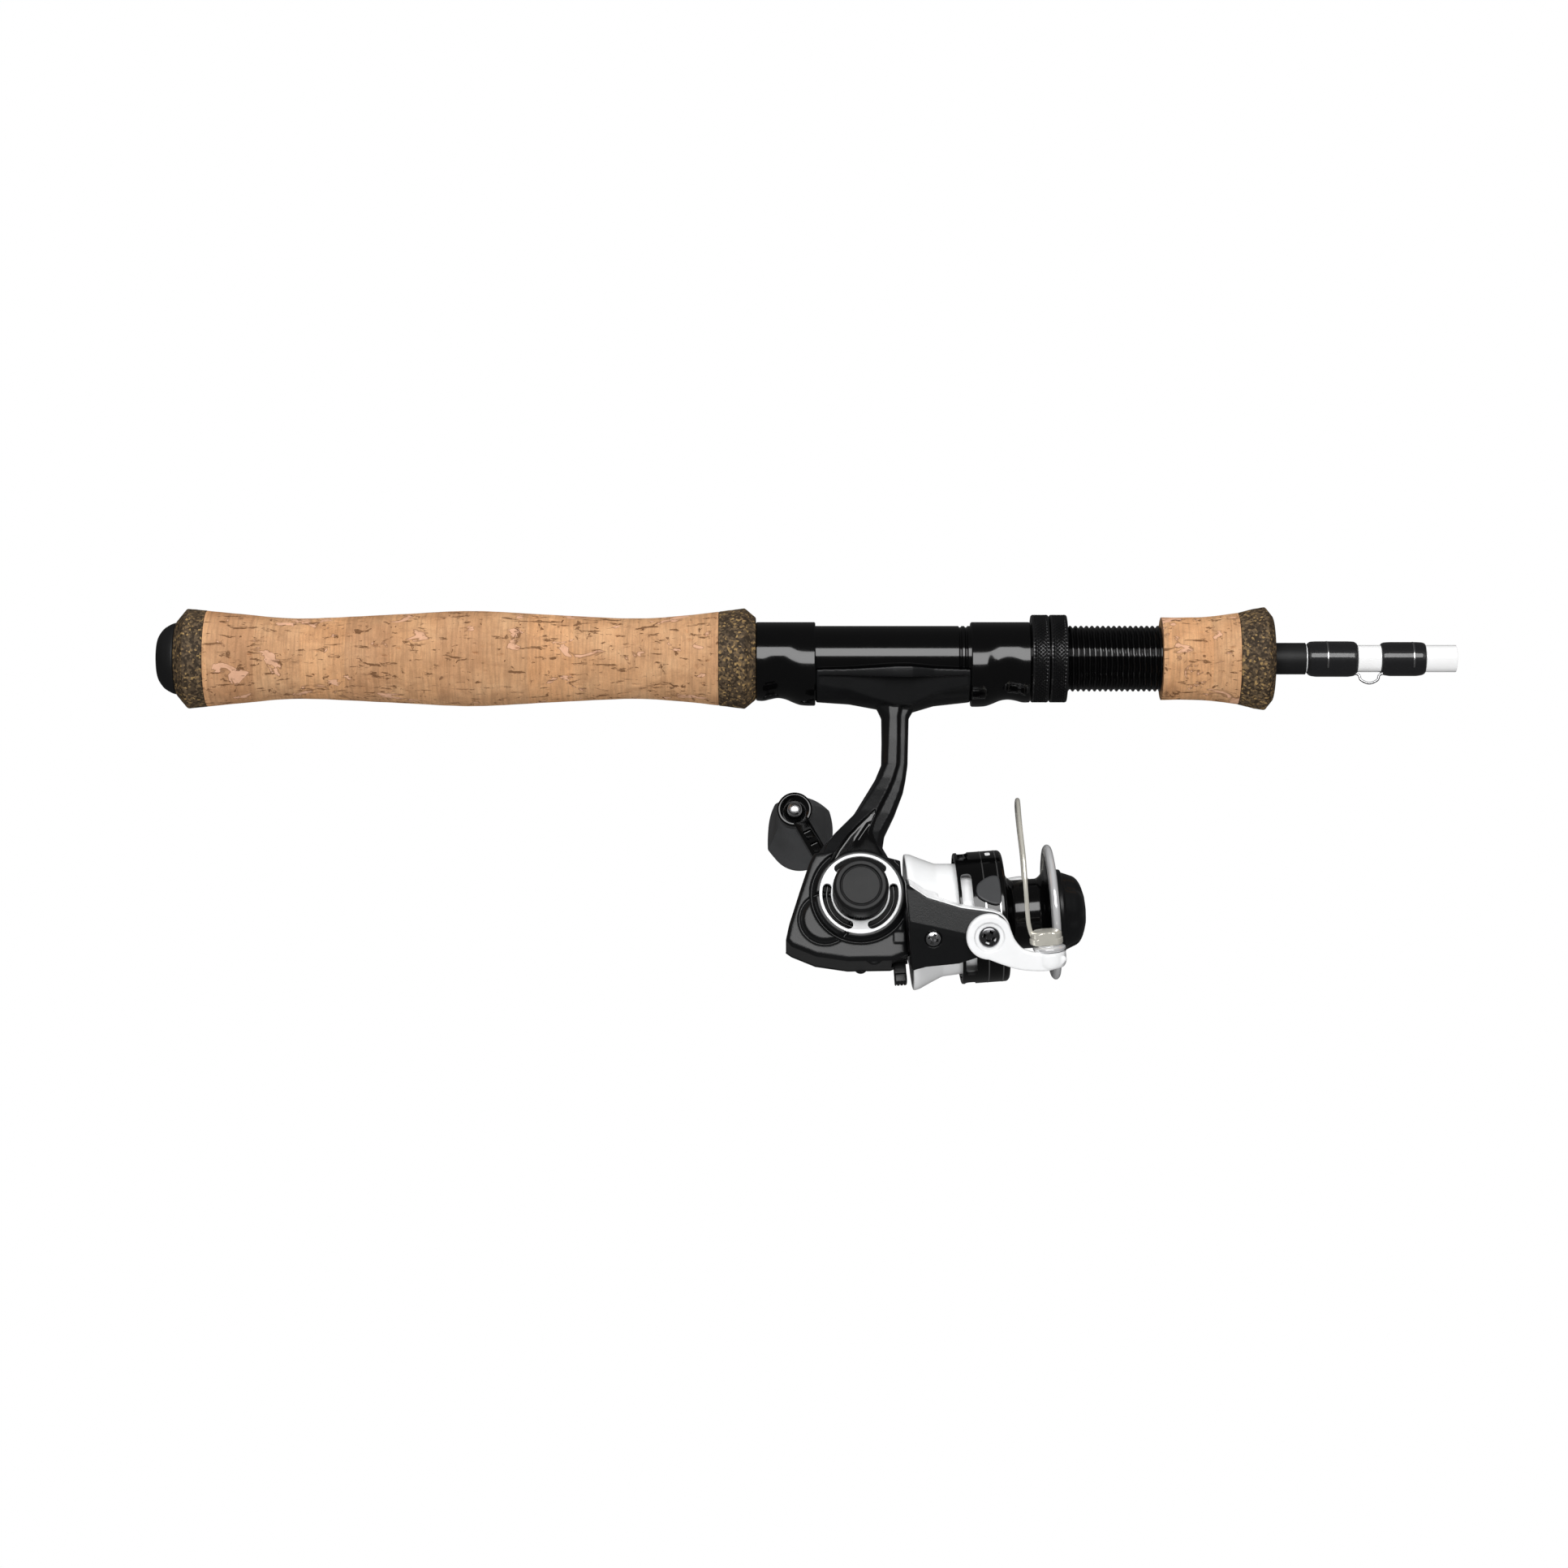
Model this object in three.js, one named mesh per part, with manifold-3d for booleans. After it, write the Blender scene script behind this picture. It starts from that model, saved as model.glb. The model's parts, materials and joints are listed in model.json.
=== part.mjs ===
// Handle section of a spinning rod with its reel: every piece is a separate solid, in millimetres, +Z up.
// The rod's axis is X, with the tip towards +X. The reel hangs below it, and its crank is on the +Y side.
import * as THREE from 'three';
import { mergeVertices } from 'three/addons/utils/BufferGeometryUtils.js';
import Module from 'manifold-3d';

const wasm = await Module();
wasm.setup();

// Driving dimensions: rod.
const CLEARANCE = 0.3;
const RUNNING = 0.15;
const BLANK_RADIUS = 3.7;
const BLANK_BORE = 3.0;
const BLANK_START = -190;
const BLANK_END = 141;
const SOCKET_END = 154;
const GRIP_BORE = 3.9;
const SEAT_RADIUS = 8.95;
const SEAT_BORE = 7.6;
const SEAT_START = -37;
const SEAT_END = 73;
const HOOD_RADIUS = 10;
const HOOD_LENGTH = 16.2;
const HOOD_MOUTH = 21.2;
const FOOT_OFFSET = -3;
const NUT_RADIUS = 12;
const NUT_LENGTH = 4.7;
const NUT_START = 37.7;
const WRAP_RADIUS = 4.75;
const KEEPER_WIRE = 0.45;

// Facets round a turned piece: small, ordinary and large ones.
const FEW_SIDES = 12;
const SIDES = 16;
const MANY_SIDES = 20;

// Driving dimensions: reel.
const AXLE = { x: -9.4, z: -69.2 };
const AXLE_RADIUS = 2.5;
const CRANK_LENGTH = 38.2;
const CRANK_ANGLE = -0.473;
const KNOB_WIDTH = 18.7;
const KNOB_HEIGHT = 15.5;
const SPOOL_ORIGIN = { x: 22.66, z: -72.59 };
const SPOOL_TILT = THREE.MathUtils.degToRad(4.2);
const ROTOR_PHASE = THREE.MathUtils.degToRad(24.8);
const SPINDLE_RADIUS = 1.5;
const DRIVE_TEETH = 31;
const PINION_TEETH = 6;
const SHAFT_TEETH = 12;
const OSCILLATION_TEETH = 16;
const OSCILLATION = { x: -16, z: -75 };
const CASE_NEAR = -12;
const CASE_FAR = 7.5;
const COVER_FAR = 11.2;
const CASE_FRONT = -20.3;
const SKIRT_RADIUS = 17.65;
const ARBOR_RADIUS = 9.3;
const LIP_RADIUS = 18.2;
const ARM_OUTER = 21.5;
const ARM_COVER_OUTER = 24;
const BAIL_PIVOT = 0.8;
const BAIL_WIRE = 0.6;
const ROLLER = { axial: 16.6, radial: 23.5, radius: 4.35 };

// Colours and finishes.
const finish = (color, roughness, metalness = 0) =>
  new THREE.MeshStandardMaterial({ color, roughness, metalness });
const CORK = () => finish(0xc99a6b, 0.85);
const BURL = () => finish(0x4a3726, 0.8);
const GLOSS_BLACK = () => finish(0x0b0b0c, 0.2);
const SATIN_BLACK = () => finish(0x17181a, 0.5);
const MATT_BLACK = () => finish(0x26282b, 0.8);
const WHITE = () => finish(0xf2f3f4, 0.25);
const STEEL = () => finish(0xb9bcc0, 0.3, 1);
const CHROME = () => finish(0xdfe2e6, 0.1, 1);
const BRASS = () => finish(0xb08d4a, 0.35, 1);
const ZINC = () => finish(0x8d9095, 0.45, 1);

const model = new THREE.Group();
const spoolFrame = new THREE.Group();
spoolFrame.position.set(SPOOL_ORIGIN.x, 0, SPOOL_ORIGIN.z);
spoolFrame.rotation.y = -SPOOL_TILT;
model.add(spoolFrame);
const rotorFrame = new THREE.Group();
rotorFrame.rotation.x = ROTOR_PHASE;
spoolFrame.add(rotorFrame);
const axleFrame = new THREE.Group();
axleFrame.position.set(AXLE.x, 0, AXLE.z);
axleFrame.rotation.z = Math.PI / 2;
model.add(axleFrame);
const crankFrame = new THREE.Group();
crankFrame.rotation.x = CRANK_ANGLE;
axleFrame.add(crankFrame);

function add(parent, name, geometry, material) {
  const mesh = new THREE.Mesh(geometry, material);
  mesh.name = name;
  parent.add(mesh);
  return mesh;
}

// A solid of revolution about X, from points [x, radius] that run along the outside towards +X.
function turned(points, segments = SIDES) {
  const profile = points.map(([x, radius]) => new THREE.Vector2(radius, x));
  const open = profile[0].x > 0 || profile[profile.length - 1].x > 0;
  if (open) profile.push(profile[0].clone());
  const geometry = new THREE.LatheGeometry(profile, segments);
  geometry.rotateZ(-Math.PI / 2);
  return geometry;
}

function rod(x0, x1, radius, segments = SIDES) {
  return turned([[x0, 0], [x0, radius], [x1, radius], [x1, 0]], segments);
}

function ring(x0, x1, inner, outer, segments = SIDES) {
  return turned([[x0, inner], [x0, outer], [x1, outer], [x1, inner]], segments);
}

// Smooth outer profile through the given points, closed by a straight bore.
function bored(points, bore, divisions, segments = SIDES) {
  const curve = new THREE.SplineCurve(points.map(([x, radius]) => new THREE.Vector2(x, radius)));
  const outside = curve.getPoints(divisions).map((p) => [p.x, p.y]);
  const first = points[0][0];
  const last = points[points.length - 1][0];
  return turned([[first, bore], ...outside, [last, bore]], segments);
}

// An outline in X and Z, extruded along Y between two depths, with an optional bevel on both faces.
function plate(outline, y0, y1, bevel = 0) {
  const isShape = outline instanceof THREE.Shape;
  const shape = isShape ? outline : new THREE.Shape(outline.map(([x, z]) => new THREE.Vector2(x, z)));
  const geometry = new THREE.ExtrudeGeometry(shape, {
    depth: y1 - y0 - 2 * bevel,
    bevelEnabled: bevel > 0,
    bevelThickness: bevel,
    bevelSize: bevel,
    bevelOffset: -bevel,
    bevelSegments: 1,
    curveSegments: 9,
  });
  geometry.rotateX(Math.PI / 2);
  geometry.translate(0, y1 - bevel, 0);
  return geometry;
}

function block(x0, x1, y0, y1, z0, z1) {
  const geometry = new THREE.BoxGeometry(x1 - x0, y1 - y0, z1 - z0);
  geometry.translate((x0 + x1) / 2, (y0 + y1) / 2, (z0 + z1) / 2);
  return geometry;
}

function wire(points, radius, steps, sides = 8) {
  const circle = new THREE.Shape();
  circle.absarc(0, 0, radius, 0, 2 * Math.PI);
  const path = new THREE.CatmullRomCurve3(points.map((p) => new THREE.Vector3(...p)));
  return new THREE.ExtrudeGeometry(circle, { steps, extrudePath: path, curveSegments: sides / 2 });
}

function toManifold(geometry) {
  const bare = geometry.clone();
  bare.deleteAttribute('normal');
  bare.deleteAttribute('uv');
  const merged = mergeVertices(bare, 1e-4);
  const position = merged.getAttribute('position').array;
  const index = merged.getIndex().array;
  const triangles = [];
  for (let i = 0; i < index.length; i += 3) {
    const [a, b, c] = [index[i], index[i + 1], index[i + 2]];
    if (a !== b && b !== c && c !== a) triangles.push(a, b, c);
  }
  return new wasm.Manifold(new wasm.Mesh({
    numProp: 3,
    vertProperties: new Float32Array(position),
    triVerts: new Uint32Array(triangles),
  }));
}

function toGeometry(manifold) {
  const mesh = manifold.getMesh();
  const geometry = new THREE.BufferGeometry();
  geometry.setAttribute('position', new THREE.BufferAttribute(new Float32Array(mesh.vertProperties), 3));
  geometry.setIndex(new THREE.BufferAttribute(new Uint32Array(mesh.triVerts), 1));
  return geometry;
}

// The first list is joined, and every solid of the second list is cut from it.
function joined(solids, cuts = []) {
  let body = toManifold(solids[0]);
  for (const solid of solids.slice(1)) body = body.add(toManifold(solid));
  for (const cut of cuts) body = body.subtract(toManifold(cut));
  return toGeometry(body);
}

function moved(geometry, x, y, z) {
  return geometry.translate(x, y, z);
}

// Turns a solid made along X so that it lies along Y, and moves it to the handle axle.
function onAxle(geometry) {
  return geometry.rotateZ(Math.PI / 2).translate(AXLE.x, 0, AXLE.z);
}

function inSpoolFrame(geometry) {
  return geometry.rotateY(-SPOOL_TILT).translate(SPOOL_ORIGIN.x, 0, SPOOL_ORIGIN.z);
}

// A straight-toothed outline: each tooth is a trapezium between the root and the tip circles.
function gearShape(teeth, root, tip) {
  const shape = new THREE.Shape();
  for (let i = 0; i < teeth; i += 1) {
    const step = (2 * Math.PI) / teeth;
    [[0, root], [0.35, root], [0.5, tip], [0.85, tip]].forEach(([part, radius]) => {
      const angle = (i + part) * step;
      const x = radius * Math.cos(angle);
      const y = radius * Math.sin(angle);
      if (i === 0 && part === 0) shape.moveTo(x, y);
      else shape.lineTo(x, y);
    });
  }
  return shape;
}

// The toothed outline extruded along X.
function gear(teeth, root, tip, x0, x1) {
  const settings = { depth: x1 - x0, bevelEnabled: false };
  const geometry = new THREE.ExtrudeGeometry(gearShape(teeth, root, tip), settings);
  return geometry.rotateY(Math.PI / 2).translate(x0, 0, 0);
}

function buildRearGrip() {
  add(model, 'butt_cap', turned([
    [-201, 0], [-201, 5], [-200.4, 6.6], [-199.1, 8.3], [-197, 9.5], [-195.9, 9.9],
    [-195.9, 7.2], [-190.5, 7.2], [-190.5, 0],
  ]), MATT_BLACK());
  add(model, 'rear_grip_butt_ring', turned([
    [-195.6, 7.5], [-195.6, 10.2], [-192.7, 13.65], [-187.6, 13.15], [-187.6, 7.5],
  ]), BURL());
  const grip = bored([
    [-187.3, 13.1], [-177, 12.1], [-162, 11], [-138.5, 11.95], [-115.4, 13],
    [-94, 12], [-71, 11], [-57, 11.8], [-47.6, 12.8],
  ], GRIP_BORE, 14);
  add(model, 'rear_grip', joined([grip], [rod(-190, -185.5, 7.6)]), CORK());
  add(model, 'rear_grip_front_ring', turned([
    [-47.3, GRIP_BORE], [-47.3, 12.9], [-40.5, 13.76], [-37.7, 11.4], [-37.7, GRIP_BORE],
  ]), BURL());
}

function buildSeat() {
  add(model, 'seat_tube', turned([
    [SEAT_START, SEAT_BORE], [SEAT_START, SEAT_RADIUS],
    [17.9, SEAT_RADIUS], [18.1, 8.6], [18.5, SEAT_RADIUS],
    [19.6, SEAT_RADIUS], [19.9, 8.6], [20.2, SEAT_RADIUS],
    [SEAT_END, SEAT_RADIUS], [SEAT_END, SEAT_BORE],
  ], MANY_SIDES), GLOSS_BLACK());
  add(model, 'seat_arbor_rear', ring(-33, -20, GRIP_BORE, SEAT_BORE - RUNNING), MATT_BLACK());
  add(model, 'seat_arbor_front', ring(56, 69, GRIP_BORE, SEAT_BORE - RUNNING), MATT_BLACK());
}

// A hood is a collar with a lower lobe whose pocket takes one end of the reel's foot.
function hood(flangeBottom, neckBottom, mouthBottom) {
  const lobe = moved(turned([
    [0, 0], [0, flangeBottom + FOOT_OFFSET], [3.2, flangeBottom + FOOT_OFFSET],
    [4.4, neckBottom + FOOT_OFFSET], [6, neckBottom + FOOT_OFFSET], [11, mouthBottom + FOOT_OFFSET - 0.6],
    [14, mouthBottom + FOOT_OFFSET], [HOOD_LENGTH, mouthBottom + FOOT_OFFSET], [HOOD_LENGTH, 0],
  ], MANY_SIDES), 0, 0, FOOT_OFFSET);
  const pocket = moved(turned([
    [4.5, 0], [4.5, 7.7], [HOOD_LENGTH + 1, 9.05], [HOOD_LENGTH + 1, 0],
  ], MANY_SIDES), 0, 0, FOOT_OFFSET);
  const collar = rod(0, HOOD_LENGTH, HOOD_RADIUS, MANY_SIDES);
  return joined([collar, lobe], [rod(-1, HOOD_LENGTH + 1, SEAT_RADIUS + RUNNING, MANY_SIDES), pocket]);
}

function buildHoodsAndNuts() {
  const rear = hood(11.8, 10.5, 13);
  add(model, 'fixed_hood', moved(rear, -HOOD_MOUTH - HOOD_LENGTH, 0, 0), GLOSS_BLACK());
  const front = hood(12.2, 11.3, 13.3).rotateZ(Math.PI);
  add(model, 'sliding_hood', moved(front, HOOD_MOUTH + HOOD_LENGTH, 0, 0), GLOSS_BLACK());
  ['lock_nut', 'jam_nut'].forEach((name, i) => {
    const start = NUT_START + i * (NUT_LENGTH + CLEARANCE);
    const end = start + NUT_LENGTH;
    const inner = SEAT_RADIUS + RUNNING;
    add(model, name, turned([
      [start, inner], [start, NUT_RADIUS - 0.5], [start + 0.5, NUT_RADIUS],
      [end - 0.5, NUT_RADIUS], [end, NUT_RADIUS - 0.5], [end, inner],
    ], MANY_SIDES), SATIN_BLACK());
  });
}

function buildForeGrip() {
  const cork = bored([
    [73.3, 11.3], [79, 11.25], [85, 11.4], [90, 11.9], [94.2, 12.5],
  ], GRIP_BORE, 8);
  add(model, 'fore_grip', cork, CORK());
  add(model, 'fore_grip_ring', turned([
    [94.5, GRIP_BORE], [94.5, 12.55], [98.5, 13.6], [101.6, 14.1], [103.7, 11.5], [103.7, GRIP_BORE],
  ]), BURL());
}

function buildBlank() {
  add(model, 'blank', ring(BLANK_START, BLANK_END, BLANK_BORE, BLANK_RADIUS), WHITE());
  // The socket's joint with the blank lies under the front whipping.
  const socket = ring(BLANK_END + CLEARANCE, SOCKET_END, BLANK_BORE, BLANK_RADIUS);
  add(model, 'ferrule_socket', socket, WHITE());
  const inner = BLANK_RADIUS + 0.1;
  add(model, 'blank_sleeve', ring(104, 112.8, inner, 4.33), MATT_BLACK());
  const channel = () => block(122, 138, -0.7, 0.7, -5, -3.6);
  const wrap = (x0, x1, radius) => joined([turned([
    [x0, inner], [x0, inner + 0.3], [x0 + 0.6, radius], [x1 - 0.6, radius], [x1, inner + 0.3], [x1, inner],
  ])], [channel()]);
  add(model, 'keeper_wrap_rear', wrap(113.1, 127, WRAP_RADIUS), GLOSS_BLACK());
  add(model, 'keeper_wrap_front', wrap(133.3, 145.6, WRAP_RADIUS - 0.2), GLOSS_BLACK());
  add(model, 'keeper_trim_rear', ring(118.3, 118.9, WRAP_RADIUS + 0.05, WRAP_RADIUS + 0.2), STEEL());
  add(model, 'keeper_trim_front', ring(141.8, 142.4, WRAP_RADIUS - 0.15, WRAP_RADIUS), STEEL());
  add(model, 'hook_keeper', joined([wire([
    [123, 0, -4.25], [126, 0, -4.25], [127.4, 0, -4.7], [127.9, 0, -6.2], [130.1, 0, -7],
    [132.3, 0, -6.2], [132.8, 0, -4.7], [134.2, 0, -4.25], [137, 0, -4.25],
  ], KEEPER_WIRE, 20, 6)]), STEEL());
}

// Side outlines of the reel's frame, in X and Z.
const STEM_OUTLINE = [
  [-10.5, -12.4], [-6, -14.2], [-3.3, -17], [-3.25, -23.9], [-3.4, -30.4], [-5.1, -34.6], [-7.1, -38],
  [-10.9, -44.4], [-18.6, -52.1], [-23, -60.2], [-12, -66], [0, -63], [1.35, -59.6], [-2.1, -56.2],
  [-3.2, -53.5], [-2.75, -50.7], [-0.3, -45.5], [2.6, -37.6], [3.8, -30.3], [4.1, -17], [7, -14.6],
  [11, -12.4],
];
const SHOULDER_OUTLINE = [
  [-14.2, -48.2], [-18.6, -52.1], [-23, -60.2], [-25.6, -68.1], [-12, -70], [0.6, -66], [1.35, -59.6],
  [-2.1, -56.2], [-3.6, -54.6], [-5.5, -51],
];
const CASE_OUTLINE = [
  [-21.7, -57.6], [-23, -60.2], [-25.6, -68.1], [-28.4, -77.1], [-29.3, -81.5], [-27.8, -83.3],
  [-21.3, -86], [-12.6, -87.3], [-1, -87.1], [3.2, -85.5], [1.35, -59.6], [-2.3, -58.6], [-6, -57.2],
  [-10, -56.7], [-14, -56.9], [-18, -57],
];

function footSolid() {
  const body = moved(turned([
    [-30, 0], [-30, 6.9], [-28.5, 7.5], [-21.1, 8.4], [-20.9, 9.2], [-12, 10], [-4, 11.4], [0, 12],
    [5, 12.2], [12, 10.6], [20.9, 9.2], [21.1, 8.4], [28.5, 7.5], [30, 6.9], [30, 0],
  ], MANY_SIDES), 0, 0, FOOT_OFFSET);
  const seatSpace = rod(-32, 32, SEAT_RADIUS + 0.2, MANY_SIDES);
  const above = block(-40, 40, -20, 20, -6, 20);
  return toManifold(body).subtract(toManifold(seatSpace)).subtract(toManifold(above));
}

const SCREWS = [{ x: -20.6, z: -60.6 }, { x: -9, z: -84 }];
const LEVER_PIVOT = -9.6;

// One cylinder along Y at each cover screw.
function acrossAtScrews(y0, y1, radius) {
  return SCREWS.map(({ x, z }) => moved(rod(y0, y1, radius, FEW_SIDES).rotateZ(Math.PI / 2), x, 0, z));
}

function buildFrame() {
  const solids = [
    plate(STEM_OUTLINE, -3.6, 3.6, 1.2),
    plate(SHOULDER_OUTLINE, -7.5, 6.5, 1.8),
    plate(CASE_OUTLINE, CASE_NEAR, 1, 1.6),
    plate(CASE_OUTLINE, -3, CASE_FAR),
    inSpoolFrame(rod(CASE_FRONT - 1.5, -12.5, 11, MANY_SIDES)),
  ];
  const cavity = [
    onAxle(rod(-8.8, 8, 9.6, MANY_SIDES)),
    block(-23.8, -0.2, -5, 8, -80.8, -70),
    onAxle(rod(-11.3, -8, 5.15)),
    onAxle(rod(-14, -8, AXLE_RADIUS + 0.4)),
    inSpoolFrame(rod(-18.6, -12, 7.7)),
    inSpoolFrame(rod(-21.4, -18, 5.15)),
    inSpoolFrame(rod(-25, -20, 3.4)),
  ];
  const lever = [
    inSpoolFrame(moved(rod(-28, -20, 1.55, FEW_SIDES), 0, 0, LEVER_PIVOT)),
    inSpoolFrame(block(-24.4, -19, -4.8, 4.8, -20, LEVER_PIVOT + 2.6)),
  ];
  const screwHoles = acrossAtScrews(-6, 9, 1.15);
  let body = footSolid();
  for (const solid of solids) body = body.add(toManifold(solid));
  body = body.subtract(toManifold(rod(-32, 32, SEAT_RADIUS + 0.2, MANY_SIDES)));
  for (const cut of [...cavity, ...lever, ...screwHoles]) body = body.subtract(toManifold(cut));
  add(model, 'reel_frame', toGeometry(body), SATIN_BLACK());
}

function buildCover() {
  const post = moved(rod(3.9, 9, 1.35, FEW_SIDES).rotateZ(Math.PI / 2), OSCILLATION.x, 0, OSCILLATION.z);
  const y0 = CASE_FAR + CLEARANCE;
  const heads = acrossAtScrews(10, 12, 2.1);
  const holes = acrossAtScrews(7, 12, 1.15);
  const noseSpace = inSpoolFrame(rod(CASE_FRONT - 3, -10, 11.3, MANY_SIDES));
  const cover = joined(
    [plate(CASE_OUTLINE, y0, COVER_FAR, 1.4), plate(CASE_OUTLINE, y0, 9.6), post],
    [noseSpace, onAxle(rod(7, 10.4, 5.15)), onAxle(rod(7, 12, AXLE_RADIUS + 0.4)), ...heads, ...holes],
  );
  add(model, 'side_cover', cover, SATIN_BLACK());
  SCREWS.forEach(({ x, z }, i) => {
    const screw = turned([[-4, 0], [-4, 1], [10.15, 1], [10.15, 1.9], [11.4, 1.6], [11.4, 0]], FEW_SIDES);
    add(model, `cover_screw_${i + 1}`, moved(screw.rotateZ(Math.PI / 2), x, 0, z), STEEL());
  });
}

// The trim ring round the handle cap, with three long slots between three webs.
function buildSideRing() {
  const slots = [];
  for (let i = 0; i < 3; i += 1) {
    const middle = -Math.PI / 2 + (i + 0.5) * (2 * Math.PI / 3);
    const half = 0.82;
    const slot = new THREE.Shape();
    slot.absarc(0, 0, 9.9, middle - half, middle + half);
    slot.absarc(0, 0, 8.1, middle + half, middle - half, true);
    slots.push(moved(plate(slot, -14, -11), AXLE.x, 0, AXLE.z));
  }
  add(model, 'side_ring', joined([onAxle(ring(-13, -12.1, 7.35, 10.95, 24))], slots), WHITE());
}

function buildBearings() {
  add(axleFrame, 'bearing_near', ring(-11.2, -8.9, AXLE_RADIUS + 0.1, 5.05), STEEL());
  add(axleFrame, 'bearing_far', ring(7.9, 10.3, AXLE_RADIUS + 0.1, 5.05), STEEL());
  add(spoolFrame, 'pinion_bearing', ring(-21.2, -18.8, 3.05, 5.05), STEEL());
  add(spoolFrame, 'one_way_clutch', ring(-18.4, -13, 3.05, 7.6), STEEL());
}

function buildAntiReverseLever() {
  const hub = moved(rod(-24, -20.7, 2.2, FEW_SIDES), 0, 0, LEVER_PIVOT);
  const pin = moved(rod(-27.4, -23.5, 1.4, FEW_SIDES), 0, 0, LEVER_PIVOT);
  const blade = block(-24, -20.7, -1.6, 1.6, -18.6, LEVER_PIVOT);
  const tab = block(-24, -20.7, -2.4, 2.4, -18.6, -14.6);
  add(spoolFrame, 'anti_reverse_lever', joined([hub, pin, blade, tab]), SATIN_BLACK());
}

function buildDrive() {
  const shaft = joined([
    turned([[-20, 0], [-20, AXLE_RADIUS], [21.4, AXLE_RADIUS], [21.4, 0]]),
    gear(SHAFT_TEETH, 3, 3.6, 3.6, 5.6),
  ]);
  add(axleFrame, 'drive_shaft', shaft, STEEL());
  const teeth = gear(DRIVE_TEETH, 7.4, 8.6, -5.3, -3.2);
  const disc = rod(-7.6, -5.1, 9, MANY_SIDES);
  const hub = rod(-8.2, -3.4, 4);
  const inside = ring(-4.8, -3, 4.2, 6.6);
  const shaftBore = rod(-9, -3, AXLE_RADIUS + 0.1);
  add(axleFrame, 'drive_gear', joined([disc, teeth, hub], [inside, shaftBore]), ZINC());
  const bore = rod(-21, -12, AXLE_RADIUS + 0.15);
  const cap = turned([
    [-23, 0], [-23, 6], [-22.2, 6.7], [-13.6, 7.05], [-12.4, 6.6], [-12.4, 0],
  ], MANY_SIDES);
  add(axleFrame, 'handle_cap', joined([cap], [bore]), MATT_BLACK());
}

function buildOscillation() {
  const wheel = gear(OSCILLATION_TEETH, 4.3, 4.9, 3.6, 5.6);
  const post = moved(rod(3, 4, 0.9, FEW_SIDES), 0, 0, 3);
  const solid = joined([wheel, post], [rod(3, 6, 1.5, FEW_SIDES)]).rotateZ(Math.PI / 2);
  add(model, 'oscillation_gear', moved(solid, OSCILLATION.x, 0, OSCILLATION.z), BRASS());
  const slider = block(-41.6, -35.6, -2.6, 2.6, -3.4, 2.4);
  const spindleHole = rod(-43, -35, SPINDLE_RADIUS + 0.1, FEW_SIDES);
  add(spoolFrame, 'oscillation_slider', joined([slider], [spindleHole]), ZINC());
}

function buildCrank() {
  const hub = turned([[12.6, 0], [12.6, 5.2], [17, 5.2], [18.5, 4.6], [23.4, 4.6], [24.2, 3.6], [24.2, 0]]);
  const arm = plate([
    [18.5, 1], [18.5, 4], [28, 35], [28, 40.6], [31.5, 40.6], [31.5, 34.4], [23.4, 1],
  ], -2.15, 2.15);
  const boss = moved(rod(28, 31.5, 4.9), 0, 0, CRANK_LENGTH);
  const pinHole = moved(rod(27, 33, 1.75, FEW_SIDES), 0, 0, CRANK_LENGTH);
  const hubHole = rod(12, 21.8, AXLE_RADIUS + 0.15);
  add(crankFrame, 'crank_arm', joined([hub, arm, boss], [hubHole, pinHole]), GLOSS_BLACK());
  const pin = turned([
    [27.1, 0], [27.1, 1.3], [27.4, 1.9], [27.85, 1.9], [27.85, 1.6], [57, 1.6], [57, 0],
  ], FEW_SIDES);
  add(crankFrame, 'knob_pin', moved(pin, 0, 0, CRANK_LENGTH), STEEL());
  // The paddle is turned with few facets, then flattened so that it is wider than it is high.
  const paddle = turned([
    [32, 0], [32, 4.6], [33, 5.2], [38, 6.2], [46, 8.2], [55, KNOB_WIDTH / 2], [60, 8], [62, 5.4], [62, 0],
  ], FEW_SIDES);
  paddle.scale(1, 1, KNOB_HEIGHT / KNOB_WIDTH);
  paddle.rotateX(-CRANK_ANGLE);
  const knob = joined([paddle], [rod(31, 58, 1.75, FEW_SIDES)]);
  add(crankFrame, 'handle_knob', moved(knob, 0, 0, CRANK_LENGTH), MATT_BLACK());
}

// The bail's side of each rotor arm: an outline along and across the arm, with a round end at the pivot.
function armOutline(inset = 0) {
  const shape = new THREE.Shape();
  const radius = 6.1 - inset;
  shape.moveTo(-19.1 + inset, -8.5 + inset);
  shape.lineTo(-16, -7.8 + inset);
  shape.lineTo(-7.5, -7.5 + inset);
  shape.absarc(BAIL_PIVOT, 0, radius, -Math.PI * 0.6, Math.PI * 0.43);
  shape.lineTo(-14.7, 11.1 - inset);
  shape.lineTo(-19.1 + inset, 14.2 - inset);
  return shape;
}

function rotorArm() {
  const outer = toManifold(plate(armOutline(), -ARM_OUTER, -12));
  const skirtSpace = turned([[-11.4, 0], [-11.4, 19.1], [9, 19.1], [9, 0]], MANY_SIDES);
  const bell = turned([[-21, 0], [-21, 17.4], [-14.2, 15], [-8.6, 13.3], [-8.6, 0]], MANY_SIDES);
  let arm = outer.subtract(toManifold(skirtSpace)).subtract(toManifold(bell));
  arm = arm.subtract(toManifold(pivotBore(1.65)));
  arm = arm.subtract(toManifold(moved(rod(-25, -15, 1.15, FEW_SIDES).rotateZ(Math.PI / 2), -13.8, 0, 0)));
  return toGeometry(arm);
}

// A bore along the bail's pivot axis, from 30 mm out to the spool's side of the arm.
function pivotBore(radius) {
  return moved(rod(-30, -15, radius, FEW_SIDES).rotateZ(Math.PI / 2), BAIL_PIVOT, 0, 0);
}

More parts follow.
